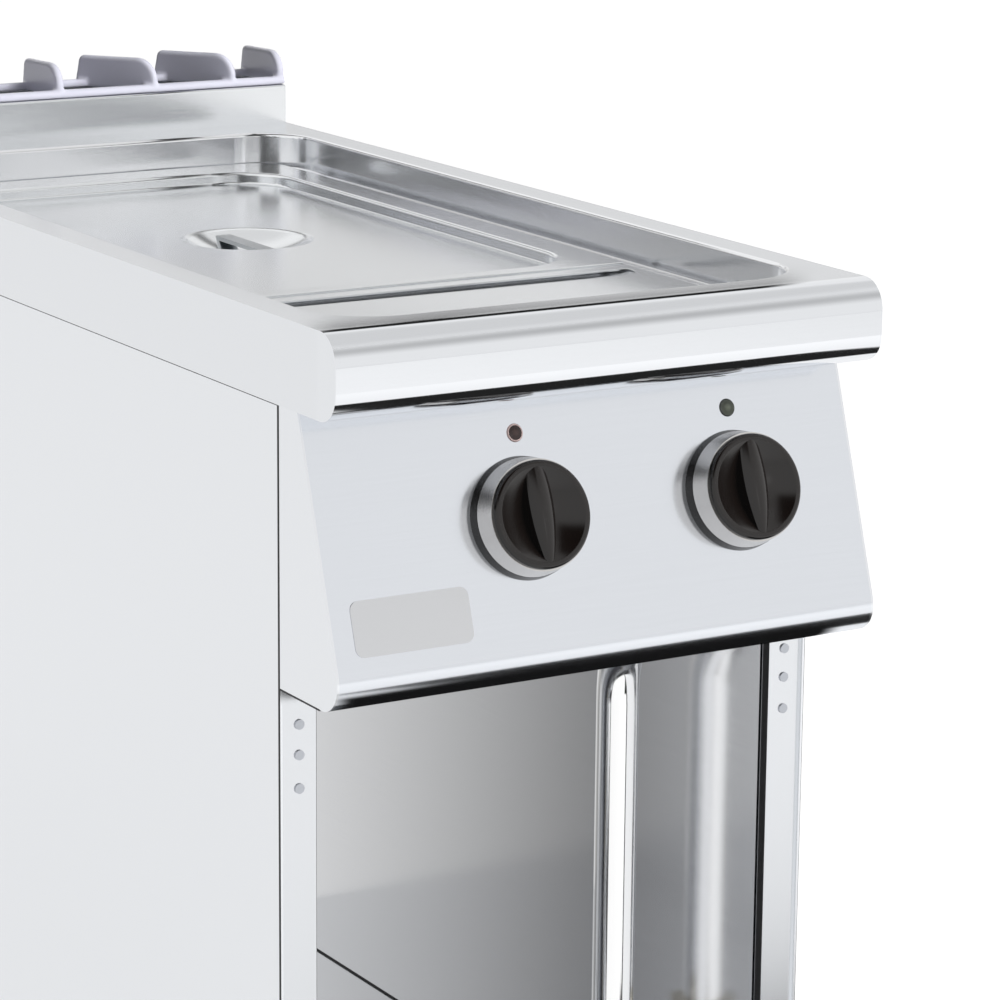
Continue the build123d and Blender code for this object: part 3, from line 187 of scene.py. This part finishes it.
def ground_steel(name, colour, roughness, along, grain, relief=0.0008, tint=0.012, polish=None):
    """Metal sheet ground by a belt: faint streaks along one axis, which soften what the sheet mirrors.

    relief is the depth of the streaks in mm, and tint is the share by which they change the colour.
    polish is a roughness for the bullnose, which is buffed brighter than the flat behind it.
    """
    material, tree, shader = new_material(name)
    shader.inputs["Metallic"].default_value = 1.0
    place = add_node(tree, "ShaderNodeTexCoord")
    # The streaks are drawn coarser than the real 0.1 mm, so that they show.
    stretch = [1 / grain] * 3
    stretch["XYZ".index(along)] = 1 / (STREAK_LENGTH * grain)
    lines = add_node(tree, "ShaderNodeMapping", {"Vector": place.outputs["Object"], "Scale": stretch})
    streak = add_node(
        tree,
        "ShaderNodeTexNoise",
        {"Vector": lines.outputs[0], "Scale": 1.0, "Detail": 3.0, "Roughness": 0.6},
    )
    rough = add_node(
        tree,
        "ShaderNodeMapRange",
        {
            "Value": streak.outputs["Fac"],
            "To Min": roughness - STREAK_ROUGHNESS,
            "To Max": roughness + STREAK_ROUGHNESS,
        },
    )
    if polish is not None:
        axes = add_node(tree, "ShaderNodeSeparateXYZ", {"Vector": place.outputs["Object"]})
        flat = add_node(
            tree,
            "ShaderNodeMapRange",
            {
                "Value": axes.outputs["Y"],
                "From Min": FRONT + POLISH_ENDS[0],
                "From Max": FRONT + POLISH_ENDS[1],
            },
        )
        rough = add_node(
            tree,
            "ShaderNodeMapRange",
            {"Value": flat.outputs[0], "To Min": polish, "To Max": rough.outputs[0]},
        )
    tree.links.new(rough.outputs[0], shader.inputs["Roughness"])
    shades = [tuple(min(c * (1 + side * tint), 1) for c in colour[:3]) + (1,) for side in (-1, 1)]
    mixed = add_node(
        tree,
        "ShaderNodeMix",
        {"Factor": streak.outputs["Fac"], "A": shades[0], "B": shades[1]},
        data_type="RGBA",
    )
    tree.links.new(mixed.outputs["Result"], shader.inputs["Base Color"])
    if relief > 0:
        bump = add_node(
            tree,
            "ShaderNodeBump",
            {"Height": streak.outputs["Fac"], "Strength": STREAK_BUMP, "Distance": relief * MM},
        )
        tree.links.new(bump.outputs[0], shader.inputs["Normal"])
    return material


def moulded(name, colour, roughness, texture_mm, relief, coat=0.0):
    """Moulded or dipped plastic: an even colour under a faint skin, whose texture and relief are in mm."""
    material, tree, shader = new_material(name)
    shader.inputs["Base Color"].default_value = colour
    shader.inputs["IOR"].default_value = 1.5
    shader.inputs["Coat Weight"].default_value = coat
    shader.inputs["Coat Roughness"].default_value = 0.05
    place = add_node(tree, "ShaderNodeTexCoord")
    skin = add_node(
        tree,
        "ShaderNodeTexNoise",
        {"Vector": place.outputs["Object"], "Scale": 1 / (texture_mm * MM), "Detail": 4.0},
    )
    rough = add_node(
        tree,
        "ShaderNodeMapRange",
        {
            "Value": skin.outputs["Fac"],
            "To Min": roughness + SKIN_ROUGHNESS[0],
            "To Max": roughness + SKIN_ROUGHNESS[1],
        },
    )
    tree.links.new(rough.outputs[0], shader.inputs["Roughness"])
    bump = add_node(
        tree,
        "ShaderNodeBump",
        {"Height": skin.outputs["Fac"], "Strength": SKIN_BUMP, "Distance": relief * MM},
    )
    tree.links.new(bump.outputs[0], shader.inputs["Normal"])
    return material


def lamp_lens(node, name, colour, rim):
    """Moulded lens with painted light and shade: paler in the middle, and the colour darkens to the rim."""
    material = moulded(name, colour, 0.15, 0.5, 0.004)
    tree = material.node_tree
    low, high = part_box(node)
    place = add_node(tree, "ShaderNodeTexCoord")
    middle = (low + high) / 2
    radius = (high.x - low.x) / 2
    out = add_node(
        tree, "ShaderNodeVectorMath", {0: place.outputs["Object"], 1: middle}, operation="DISTANCE"
    )
    depth = add_node(
        tree,
        "ShaderNodeMapRange",
        {"Value": out.outputs["Value"], "From Min": LENS_PAINTED_CORE * radius, "From Max": radius},
    )
    facet = add_node(
        tree, "ShaderNodeTexVoronoi", {"Vector": place.outputs["Object"], "Scale": 1 / LENS_FACET}
    )
    # The facets darken the painted pale middle by half of their depth.
    speck = add_node(tree, "ShaderNodeMath", {0: facet.outputs["Distance"], 1: 0.5}, operation="MULTIPLY")
    share = add_node(tree, "ShaderNodeMath", {0: depth.outputs[0], 1: speck.outputs[0]}, operation="MAXIMUM")
    mixed = add_node(
        tree, "ShaderNodeMix", {"Factor": share.outputs[0], "A": colour, "B": rim}, data_type="RGBA"
    )
    tree.links.new(mixed.outputs["Result"], tree.nodes["Principled BSDF"].inputs["Base Color"])
    dress(material, node)


def add_piece(name, vertices, faces, material, body):
    """Add a small visual piece that moves with a body."""
    mesh = bpy.data.meshes.new(name)
    mesh.from_pydata(vertices, [], faces)
    form = bmesh.new()
    form.from_mesh(mesh)
    bmesh.ops.recalc_face_normals(form, faces=form.faces)
    form.to_mesh(mesh)
    form.free()
    mesh.materials.append(material)
    piece = bpy.data.objects.new(name, mesh)
    bpy.context.scene.collection.objects.link(piece)
    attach(piece, body)
    return piece


def add_bars(name, spans, material, body):
    """Add straight bars as one piece. Each span has the x, y and z limits of a bar in mm.

    x is measured from the middle, y from the bullnose's front and z from the worktop's top.
    """
    vertices, faces = [], []
    for span in spans:
        first = len(vertices)
        for x in span[0]:
            for y in span[1]:
                for z in span[2]:
                    vertices.append((x * MM, FRONT + y * MM, TOP + z * MM))
        for face in BAR_FACES:
            faces.append([first + corner for corner in face])
    add_piece(name, vertices, faces, material, body)


class BAINMARIE_OT_worktop(bpy.types.Operator):
    """Finish the worktop and the riser in satin steel"""

    bl_idname = "bainmarie.worktop"
    bl_label = "Worktop"

    def execute(self, context):
        steel = context.scene.bainmarie_steel
        # Belt-ground stainless: a quiet sheen with faint streaks, and a bullnose buffed to a soft mirror
        sheet = ground_steel("ground_stainless_worktop", steel.worktop, 0.22, "X", steel.grain, polish=0.07)
        dress(sheet, "worktop", "divider_bar")
        # Belt-ground stainless of a finer grit, which mirrors the worktop as a blur
        dress(ground_steel("ground_stainless_riser", steel.riser, 0.2, "X", steel.grain), "flue_riser")
        return {"FINISHED"}


class BAINMARIE_OT_well(bpy.types.Operator):
    """Finish the pressed well in polished steel"""

    bl_idname = "bainmarie.well"
    bl_label = "Well"

    def execute(self, context):
        steel = context.scene.bainmarie_steel
        # Pressed stainless: the die leaves it smooth, so its walls and corners show long soft bands, painted
        # shade from the dark cards that it mirrors
        pressed = ground_steel("pressed_stainless_well", steel.well, 0.17, "Z", steel.grain, relief=0.0)
        dress(pressed, "well_rim", "well_tank", "false_bottom")
        return {"FINISHED"}


class BAINMARIE_OT_lid(bpy.types.Operator):
    """Finish the lid, its handle, the pan and the front cover, and add the rolled lip of the finger slot"""

    bl_idname = "bainmarie.lid"
    bl_label = "Lid and cover"

    def execute(self, context):
        steel = context.scene.bainmarie_steel
        # Drawn stainless: an even satin, which spreads each highlight
        drawn = ground_steel("drawn_stainless_lid", steel.lid, 0.2, "X", steel.grain, relief=0.0)
        dress(drawn, "gn_lid", "gn_pan", "front_cover")
        # Bent stainless strap, left as rolled: greyer than the cup that it crosses
        dress(ground_steel("rolled_stainless_handle", steel.handle, 0.3, "X", steel.grain), "lid_handle")

        # The finger slot's front edge falls away in a shallow roll, and closes towards the slot's ends.
        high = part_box("front_cover")[1]
        # The slot: half its length, the radius of its ends, its width and its distance from the cover's rear
        half, corner, width, inset = 154 * MM, 19 * MM, 23.5 * MM, 15 * MM
        # The roll: its width at the middle, its drop, its back's depth and its gap below the cover's top
        roll, drop, back, gap = 11 * MM, 2.2 * MM, 6.6 * MM, 0.1 * MM
        # The roll is even over this share of the slot's length, and closes over the rest.
        even = 0.68
        rear = high.y - inset
        count, steps = 40, 6
        stations = [half * (n / count - 1) for n in range(1, 2 * count)]
        # Each station is a ring of the roll's points and two points at its back.
        ring = steps + 3
        vertices, faces = [], []
        for x in stations:
            bend = max(abs(x) - half + corner, 0)
            edge = rear - width + corner - math.sqrt(corner**2 - bend**2)
            close = max(abs(x) - even * half, 0) / ((1 - even) * half)
            inner = max(rear - width + roll + (width - roll) * close**2, edge)
            for step in range(steps + 1):
                part = step / steps
                vertices.append((x, edge + (inner - edge) * part, high.z - gap - drop * part**2))
            vertices += [(x, inner, high.z - back), (x, edge, high.z - back)]
        for n in range(len(stations) - 1):
            for step in range(ring):
                here, there = ring * n + step, ring * n + (step + 1) % ring
                faces.append((here, here + ring, there + ring, there))
        faces += [range(ring), range(len(vertices) - ring, len(vertices))]
        lip = add_piece("slot_lip", vertices, faces, drawn, "front_cover")
        lip.data.shade_smooth()
        lip.data.set_sharp_from_angle(angle=math.radians(75))
        return {"FINISHED"}


class BAINMARIE_OT_grille(bpy.types.Operator):
    """Make the cast grille, with the soft edges and filled corners that the mould gives, and enamel it"""

    bl_idname = "bainmarie.grille"
    bl_label = "Grille"

    def execute(self, context):
        trim = context.scene.bainmarie_trim
        casting = bpy.data.objects.new("grille_casting", NODES["flue_grille"].data.copy())
        context.scene.collection.objects.link(casting)
        skin = casting.modifiers.new("skin", "REMESH")
        skin.mode = "VOXEL"
        skin.voxel_size = trim.casting_voxel
        skin.use_smooth_shade = True
        soft = casting.modifiers.new("soft", "SMOOTH")
        soft.factor = 0.5
        soft.iterations = trim.casting_rounds
        softened = bpy.data.meshes.new_from_object(casting.evaluated_get(context.evaluated_depsgraph_get()))
        casting.modifiers.clear()
        casting.data = softened
        casting.data.materials.clear()
        # Enamelled cast iron: a grey-violet gloss over the casting's slight unevenness
        casting.data.materials.append(moulded("enamelled_cast_iron", trim.enamel, 0.3, 3.0, 0.03, coat=0.3))
        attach(casting, "grille")
        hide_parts("flue_grille")
        return {"FINISHED"}


class BAINMARIE_OT_panel(bpy.types.Operator):
    """Finish the control panel and the blank badge"""

    bl_idname = "bainmarie.panel"
    bl_label = "Control panel"

    def execute(self, context):
        steel = context.scene.bainmarie_steel
        trim = context.scene.bainmarie_trim
        # Belt-ground stainless: fine lines along the panel, under a cool even grey
        face = ground_steel("ground_stainless_panel", steel.panel, 0.16, "X", steel.grain, tint=0.025)
        dress(face, "control_panel")
        # Anodised aluminium: paler and flatter than the steel round it
        dress(ground_steel("anodised_aluminium_badge", trim.badge, 0.4, "X", steel.grain), "badge_plate")
        return {"FINISHED"}


class BAINMARIE_OT_knobs(bpy.types.Operator):
    """Finish the knobs"""

    bl_idname = "bainmarie.knobs"
    bl_label = "Knobs"

    def execute(self, context):
        trim = context.scene.bainmarie_trim
        steel = context.scene.bainmarie_steel
        # Moulded phenolic: near black with a warm cast, and glossy enough to show its rounded edges
        cap = moulded("moulded_phenolic_knob", trim.knob, 0.16, 0.8, 0.002)
        ring = moulded("moulded_phenolic_bezel", trim.bezel, 0.25, 0.8, 0.002)
        # Satin chrome: dark and light run into each other round the skirt; the dark is painted shade from
        # the dark card over the knobs
        skirt = ground_steel("satin_chromed_skirt", trim.chrome, 0.22, "X", steel.grain, relief=0.001)
        for side in ("left", "right"):
            dress(cap, f"knob_cap_{side}")
            dress(ring, f"knob_bezel_{side}")
            dress(skirt, f"knob_skirt_{side}", f"spindle_{side}")
        return {"FINISHED"}


class BAINMARIE_OT_lamps(bpy.types.Operator):
    """Finish the pilot lamps"""

    bl_idname = "bainmarie.lamps"
    bl_label = "Pilot lamps"

    def execute(self, context):
        trim = context.scene.bainmarie_trim
        # Moulded polycarbonate: glossy, with a paler middle painted as light and a darker rim painted as
        # shade
        lamp_lens("lamp_lens_left", "polycarbonate_lens_red_painted_shade", trim.red_lens_painted_light, trim.red_rim_painted_shade)
        lamp_lens("lamp_lens_right", "polycarbonate_lens_green_painted_shade", trim.green_lens_painted_light, trim.green_rim_painted_shade)
        # Moulded polyamide: thin rings round the lenses, with a soft shine
        dress(moulded("moulded_polyamide_pale", trim.red_ring, 0.25, 0.5, 0.004), "lamp_holder_left")
        dress(moulded("moulded_polyamide_dark", trim.dark_ring, 0.25, 0.5, 0.004), "lamp_holder_right")
        return {"FINISHED"}


class BAINMARIE_OT_cabinet(bpy.types.Operator):
    """Finish the cabinet's sides, back, uprights, plugs and inner sheets, and paint shadow lines into its
    joints
    """

    bl_idname = "bainmarie.cabinet"
    bl_label = "Cabinet"

    def execute(self, context):
        steel = context.scene.bainmarie_steel
        trim = context.scene.bainmarie_trim
        # Satin stainless: pale and almost without a mirror image
        side = ground_steel("satin_stainless_side", steel.side, 0.24, "Z", steel.grain)
        dress(side, "side_panel_left", "side_panel_right", "panel_end_caps", "back_panel")
        # Satin stainless: the sides' steel painted greyer as shade, so that the uprights part from the sides
        upright_steel_painted_shade = ground_steel("satin_stainless_upright_painted_shade", steel.upright, 0.24, "Z", steel.grain)
        dress(upright_steel_painted_shade, "upright_front_left", "upright_front_right")
        # Bright-rolled stainless: it mirrors the pipe and the graded glowing card at the back, a painted
        # reflection, softened along the rolling
        inner = ground_steel("rolled_stainless_cabinet", steel.cabinet, 0.15, "Y", steel.grain, tint=0.02)
        dress(inner, "inner_walls", "inner_back", "heat_shield")
        dress(inner, "upright_rear_left", "upright_rear_right", "base_rails")
        # Bright-rolled stainless, rougher, and painted darker than the cabinet's sheet as shade on the
        # cabinet's floor
        dress(ground_steel("rolled_stainless_tray", steel.tray_painted_shade, 0.2, "X", steel.grain), "cabinet_floor")
        # Metallised polyamide: a dull silver-grey disc in each hole
        dress(ground_steel("metallised_polyamide_plug", trim.plug, 0.4, "X", steel.grain), "upright_plugs")

        # Painted shadow: a matt dark strip in each joint, where shade falls in the gap
        joint_shadow = moulded("painted_joint_shadow", trim.joint_shadow, 0.6, 0.8, 0.01)
        joints = []
        for edge in (-1, 1):
            joints += [
                # Under the skirt, between the side panel and the panel's end, and under the panel's end
                ((edge * 198.2, edge * 199.2), (74, 899), (-56.4, -55.4)),
                ((edge * 198.8, edge * 199.4), (74.9, 76.8), (-707, -56)),
                ((edge * 197.6, edge * 199.6), (22, 75), (-236.9, -235.7)),
                # Between the upright and the inner wall, and round the cabinet's floor
                ((edge * 171.9, edge * 172.6), (77.7, 84.5), (-683, -247)),
                ((edge * 176.2, edge * 177.1), (95, 850), (-683.1, -682)),
            ]
        add_bars("joint_shadow_strips", joints, joint_shadow, "unit")
        # Between each front upright and its side panel
        fillers = [((edge * 196.2, edge * 197.6), (77.6, 79.5), (-707, -247)) for edge in (-1, 1)]
        add_bars("upright_fillers", fillers, side, "unit")
        return {"FINISHED"}


class BAINMARIE_OT_drain(bpy.types.Operator):
    """Finish the drain pipe and its valve"""

    bl_idname = "bainmarie.drain"
    bl_label = "Drain"

    def execute(self, context):
        steel = context.scene.bainmarie_steel
        trim = context.scene.bainmarie_trim
        # Polished stainless tube: a hard bright line down its length between dark edges; the line mirrors
        # the glowing card in front, a painted highlight
        tube = ground_steel("polished_stainless_tube", steel.pipe, 0.08, "Z", steel.grain, relief=0.001)
        dress(tube, "drain_outlet", "drain_pipe", "drain_tail")
        # Nickel-plated brass: warmer and duller than the tube
        plated = ground_steel("nickel_plated_brass", steel.nickel, 0.22, "X", steel.grain)
        dress(plated, "valve_body", "valve_ball", "valve_lever")
        # Dipped vinyl: a soft black skin
        dress(moulded("dipped_vinyl", trim.rubber, 0.5, 0.6, 0.02), "lever_grip")
        return {"FINISHED"}


class BAINMARIE_OT_inside(bpy.types.Operator):
    """Finish the heater, the insulation, the housings and the gland"""

    bl_idname = "bainmarie.inside"
    bl_label = "Inside"

    def execute(self, context):
        steel = context.scene.bainmarie_steel
        trim = context.scene.bainmarie_trim
        # Oxidised steel sheath: dark, with hardly a shine left
        oxide = ground_steel("oxidised_steel_sheath", steel.oxide, 0.45, "Y", steel.grain)
        dress(oxide, "heating_element", "heater_clamps", "sensor_bulb", "limit_thermostat")
        # Pressed glass wool: a pale, loose surface without any shine
        dress(moulded("pressed_glass_wool", trim.wool, 0.9, 2.0, 0.6), "insulation_mat")
        # Moulded melamine and ABS: cream, with a faint shine
        melamine = moulded("moulded_melamine_housing", trim.plastic, 0.45, 0.8, 0.01)
        dress(melamine, "thermostat_body", "switch_body")
        dress(moulded("moulded_abs_housing", trim.plastic, 0.45, 0.8, 0.01), "terminal_box")
        # Moulded polyamide: black, with a dull skin
        dress(moulded("moulded_polyamide_gland", trim.rubber, 0.5, 0.6, 0.02), "cable_gland")
        return {"FINISHED"}


class BAINMARIE_OT_base(bpy.types.Operator):
    """Finish the legs and the feet"""

    bl_idname = "bainmarie.base"
    bl_label = "Base"

    def execute(self, context):
        steel = context.scene.bainmarie_steel
        trim = context.scene.bainmarie_trim
        # Turned stainless tube: a broad soft band down each leg
        dress(ground_steel("turned_stainless_leg", steel.leg, 0.3, "Z", LEG_GRAIN), "legs")
        # Moulded polyamide: black and matt
        sole = moulded("moulded_polyamide_foot", trim.rubber, 0.45, 0.8, 0.02)
        dress(sole, "foot_front_left", "foot_front_right", "foot_rear_left", "foot_rear_right")
        return {"FINISHED"}


def add_painted_reflection(name, centre, size, level, soft, facing=None, along="Y"):
    """Add a glowing card that only mirrors see: a painted reflection, which is no lamp and casts no shadow.

    centre is measured in metres from the middle of the bullnose's front, at the worktop's height.
    level is the shade at the two ends of the axis along.
    soft is the share of the half-width that fades out, across and up.
    A card without facing looks at the bullnose.
    """
    bpy.ops.mesh.primitive_plane_add(size=2)
    card = bpy.context.object
    card.name = name
    card.location = Vector((0, FRONT, TOP)) + Vector(centre)
    card.scale = (size[0] / 2, size[1] / 2, 1)
    card.rotation_euler = Vector(facing or [-c for c in centre]).to_track_quat("Z", "Y").to_euler()
    material, tree, shader = new_material(f"{name}_card")
    place = add_node(tree, "ShaderNodeTexCoord")
    axes = add_node(tree, "ShaderNodeSeparateXYZ", {"Vector": place.outputs["Object"]})
    shade = add_node(
        tree,
        "ShaderNodeMapRange",
        {"Value": axes.outputs[along], "From Min": -1.0, "To Min": level[0], "To Max": level[1]},
    )
    glow = add_node(tree, "ShaderNodeEmission", {"Strength": shade.outputs[0]})
    fades = []
    for axis, share in zip("XY", soft):
        out = add_node(tree, "ShaderNodeMath", {0: axes.outputs[axis]}, operation="ABSOLUTE")
        fades.append(
            add_node(
                tree,
                "ShaderNodeMapRange",
                {"Value": out.outputs[0], "From Min": 1.0, "From Max": 1.0 - share},
                interpolation_type="SMOOTHSTEP",
            )
        )
    cover = add_node(
        tree, "ShaderNodeMath", {0: fades[0].outputs[0], 1: fades[1].outputs[0]}, operation="MULTIPLY"
    )
    clear = add_node(tree, "ShaderNodeBsdfTransparent")
    both = add_node(
        tree, "ShaderNodeMixShader", {0: cover.outputs[0], 1: clear.outputs[0], 2: glow.outputs[0]}
    )
    tree.links.new(both.outputs[0], tree.nodes["Material Output"].inputs["Surface"])
    tree.nodes.remove(shader)
    card.data.materials.append(material)
    card.visible_camera = False
    card.visible_diffuse = False
    card.visible_transmission = False
    card.visible_shadow = False


def mirror_rays(tree, path):
    """1 for the rays that reach a surface by a mirror or through glass."""
    both = add_node(
        tree,
        "ShaderNodeMath",
        {0: path.outputs["Is Glossy Ray"], 1: path.outputs["Is Transmission Ray"]},
        operation="MAXIMUM",
    )
    return both.outputs[0]


class BAINMARIE_OT_stage(bpy.types.Operator):
    """Add the floor, the cards, the lamps, the even light and the camera"""

    bl_idname = "bainmarie.stage"
    bl_label = "Stage"

    def execute(self, context):
        stage = context.scene.bainmarie_stage
        scene = context.scene
        scene.view_settings.view_transform = "Standard"
        # Light has to bounce between the cabinet's walls many times before it comes out.
        scene.cycles.glossy_bounces = 8

        world = bpy.data.worlds.new("white_studio")
        scene.world = world
        world.use_nodes = True
        tree = world.node_tree
        path = add_node(tree, "ShaderNodeLightPath")
        seen = add_node(
            tree,
            "ShaderNodeMath",
            {0: path.outputs["Is Camera Ray"], 1: mirror_rays(tree, path)},
            operation="MAXIMUM",
        )
        level = add_node(
            tree, "ShaderNodeMapRange", {"Value": seen.outputs[0], "To Min": stage.sky, "To Max": 1.0}
        )
        tree.links.new(level.outputs[0], tree.nodes["Background"].inputs["Strength"])
        tree.nodes["Background"].inputs["Color"].default_value = (1, 1, 1, 1)

        bpy.ops.mesh.primitive_plane_add(size=stage.floor_size)
        floor = context.object
        floor.name = "floor"
        material, tree, shader = new_material("pale_floor")
        shader.inputs["Base Color"].default_value = stage.floor
        shader.inputs["Roughness"].default_value = 0.8
        shader.inputs["Specular IOR Level"].default_value = 0.0
        path = add_node(tree, "ShaderNodeLightPath")
        # The camera sees a floor that glows less round the object, where the lamps reach: the shadow shows.
        near, far, near_glow, far_glow = 1.5, 5.0, 0.6, 0.92
        spot = add_node(tree, "ShaderNodeTexCoord")
        out = add_node(tree, "ShaderNodeVectorMath", {0: spot.outputs["Object"]}, operation="LENGTH")
        glow = add_node(
            tree,
            "ShaderNodeMapRange",
            {
                "Value": out.outputs["Value"],
                "From Min": near,
                "From Max": far,
                "To Min": near_glow,
                "To Max": far_glow,
            },
        )
        lift = add_node(
            tree,
            "ShaderNodeMath",
            {0: path.outputs["Is Camera Ray"], 1: glow.outputs[0]},
            operation="MULTIPLY",
        )
        shader.inputs["Emission Color"].default_value = (1, 1, 1, 1)
        tree.links.new(lift.outputs[0], shader.inputs["Emission Strength"])
        # Mirrors see an evenly lit floor, so that the lamps' pools don't show in the steel.
        mirror_glow, mirror_share = 1.18, 0.8
        even = add_node(tree, "ShaderNodeEmission", {"Strength": mirror_glow})
        share = add_node(
            tree, "ShaderNodeMath", {0: mirror_rays(tree, path), 1: mirror_share}, operation="MULTIPLY"
        )
        both = add_node(
            tree, "ShaderNodeMixShader", {0: share.outputs[0], 1: shader.outputs[0], 2: even.outputs[0]}
        )
        tree.links.new(both.outputs[0], tree.nodes["Material Output"].inputs["Surface"])
        floor.data.materials.append(material)
        floor.visible_diffuse = False

        # Dark cards that only mirrors see, on the floor and near the steel: painted shade in its
        # reflections, which draws the dark lines along its edges and ledges
        skyward, frontward = (0, 0, 1), (0, -1, 0)
        add_painted_reflection("floor_painted_shade", (0.54, -0.29, 0.003 - TOP), (0.68, 0.7), (0.02, 0.02), (0.15, 0.15), skyward)
        add_painted_reflection("roll_painted_shade", (0.0, 0.024, -0.25), (0.39, 0.085), (0.01, 0.01), (0.1, 0.35), skyward)
        add_painted_reflection("edge_painted_shade", (0.02, 0.1, 0.041), (0.4, 0.058), (0.02, 0.02), (0.2, 0.5), frontward)
        add_painted_reflection("ledge_painted_shade", (0.132, 0.63, 0.1), (0.045, 0.66), (0.02, 0.02), (0.3, 0.1), skyward)
        # Large glowing cards over and behind the unit, which only mirrors see: painted reflections at set
        # levels in its broad faces
        add_painted_reflection("overhead_painted_reflection", (0.4, 0.6, 3.2), (6.0, 5.0), (0.8, 0.8), (0.4, 0.4))
        add_painted_reflection("upper_painted_reflection", (1.57, -1.73, 1.8), (5.0, 2.2), (0.7, 0.5), (1.0, 1.0))
        add_painted_reflection("rear_painted_reflection", (2.6, 4.2, 0.9), (6.0, 1.8), (0.5, 1.1), (0.4, 0.4))
        add_painted_reflection("left_rear_painted_reflection", (-2.6, 4.3, 0.9), (4.0, 2.4), (0.5, 0.5), (0.5, 0.5))
        # Dark cards to the left of the well, which only mirrors see: painted shade for the bands in its
        # walls and corners, and one for the knobs
        to_corner, to_wall = (0.656, 0.755, 0), (0.87, -0.42, 0)
        add_painted_reflection(
            "corner_painted_shade", (-0.538, 0.135, 0.135), (0.78, 0.33), (0.01, 0.01), (0.25, 0.3), to_corner
        )
        add_painted_reflection("side_painted_shade", (-0.62, 1.12, 0.07), (0.55, 0.24), (0.08, 0.08), (0.4, 0.5), to_wall)
        add_painted_reflection("knob_painted_shade", (-0.3, -0.62, 0.95), (1.5, 1.2), (0.02, 0.02), (0.4, 0.4))
        # A bright glowing card in front, a painted highlight for the pipe, and a graded glowing card at the
        # cabinet's back, painted light and shade for the reflections in its walls
        add_painted_reflection("front_painted_highlight", (0.45, -2.6, 0.5), (0.5, 0.6), (1.5, 1.5), (0.6, 0.6))
        add_painted_reflection(
            "cabinet_painted_reflection", (0.0, 0.846, -0.466), (0.354, 0.434), (0.24, 0.8), (0.01, 0.01), frontward, "X"
        )

        for name, power, place in (
            ("key", stage.key_power, (2.0, -3.0, 3.0)),
            ("fill", stage.fill_power, (-2.4, -2.4, 2.6)),
        ):
            light = bpy.data.lights.new(name, "AREA")
            light.energy = power
            light.size = LAMP_SIZE
            lamp = bpy.data.objects.new(name, light)
            lamp.location = place
            aim = Vector((0, 0, LAMP_AIM)) - Vector(place)
            lamp.rotation_euler = aim.to_track_quat("-Z", "Y").to_euler()
            lamp.visible_glossy = False
            scene.collection.objects.link(lamp)

        forward = Vector(
            (
                math.sin(stage.yaw) * math.cos(stage.pitch),
                math.cos(stage.yaw) * math.cos(stage.pitch),
                -math.sin(stage.pitch),
            )
        )
        right = Vector((math.cos(stage.yaw), -math.sin(stage.yaw), 0))
        up = right.cross(forward)
        turned_right = right * math.cos(stage.roll) + up * math.sin(stage.roll)
        turned_up = up * math.cos(stage.roll) - right * math.sin(stage.roll)
        camera = bpy.data.objects.new("camera", bpy.data.cameras.new("camera"))
        camera.data.lens = stage.lens
        camera.data.sensor_width = SENSOR_WIDTH
        axes = Matrix((turned_right, turned_up, -forward)).transposed().to_4x4()
        spot = Vector((stage.camera_x, stage.camera_y + FRONT, stage.camera_z + TOP))
        camera.matrix_world = Matrix.Translation(spot) @ axes
        scene.collection.objects.link(camera)
        scene.camera = camera
        return {"FINISHED"}


STEPS = (
    BAINMARIE_OT_worktop,
    BAINMARIE_OT_well,
    BAINMARIE_OT_lid,
    BAINMARIE_OT_grille,
    BAINMARIE_OT_panel,
    BAINMARIE_OT_knobs,
    BAINMARIE_OT_lamps,
    BAINMARIE_OT_cabinet,
    BAINMARIE_OT_drain,
    BAINMARIE_OT_inside,
    BAINMARIE_OT_base,
    BAINMARIE_OT_stage,
)


class BAINMARIE_PT_finishes(bpy.types.Panel):
    """Lists the steps and the finishes"""

    bl_idname = "BAINMARIE_PT_finishes"
    bl_label = "Bain-marie"
    bl_space_type = "VIEW_3D"
    bl_region_type = "UI"
    bl_category = "Bain-marie"

    def draw(self, context):
        for step in STEPS:
            self.layout.operator(step.bl_idname)
        scene = context.scene
        for group in (scene.bainmarie_steel, scene.bainmarie_trim, scene.bainmarie_stage):
            box = self.layout.box()
            for name in group.bl_rna.properties.keys():
                if name not in ("rna_type", "name"):
                    box.prop(group, name)


CLASSES = (SteelFinish, TrimFinish, StageSetting, *STEPS, BAINMARIE_PT_finishes)


def register():
    for cls in CLASSES:
        bpy.utils.register_class(cls)
    bpy.types.Scene.bainmarie_steel = PointerProperty(type=SteelFinish)
    bpy.types.Scene.bainmarie_trim = PointerProperty(type=TrimFinish)
    bpy.types.Scene.bainmarie_stage = PointerProperty(type=StageSetting)


def unregister():
    del bpy.types.Scene.bainmarie_stage
    del bpy.types.Scene.bainmarie_trim
    del bpy.types.Scene.bainmarie_steel
    for cls in reversed(CLASSES):
        bpy.utils.unregister_class(cls)


def main():
    register()
    bpy.ops.bainmarie.worktop()
    bpy.ops.bainmarie.well()
    bpy.ops.bainmarie.lid()
    bpy.ops.bainmarie.grille()
    bpy.ops.bainmarie.panel()
    bpy.ops.bainmarie.knobs()
    bpy.ops.bainmarie.lamps()
    bpy.ops.bainmarie.cabinet()
    bpy.ops.bainmarie.drain()
    bpy.ops.bainmarie.inside()
    bpy.ops.bainmarie.base()
    bpy.ops.bainmarie.stage()


if __name__ == "__main__":
    main()
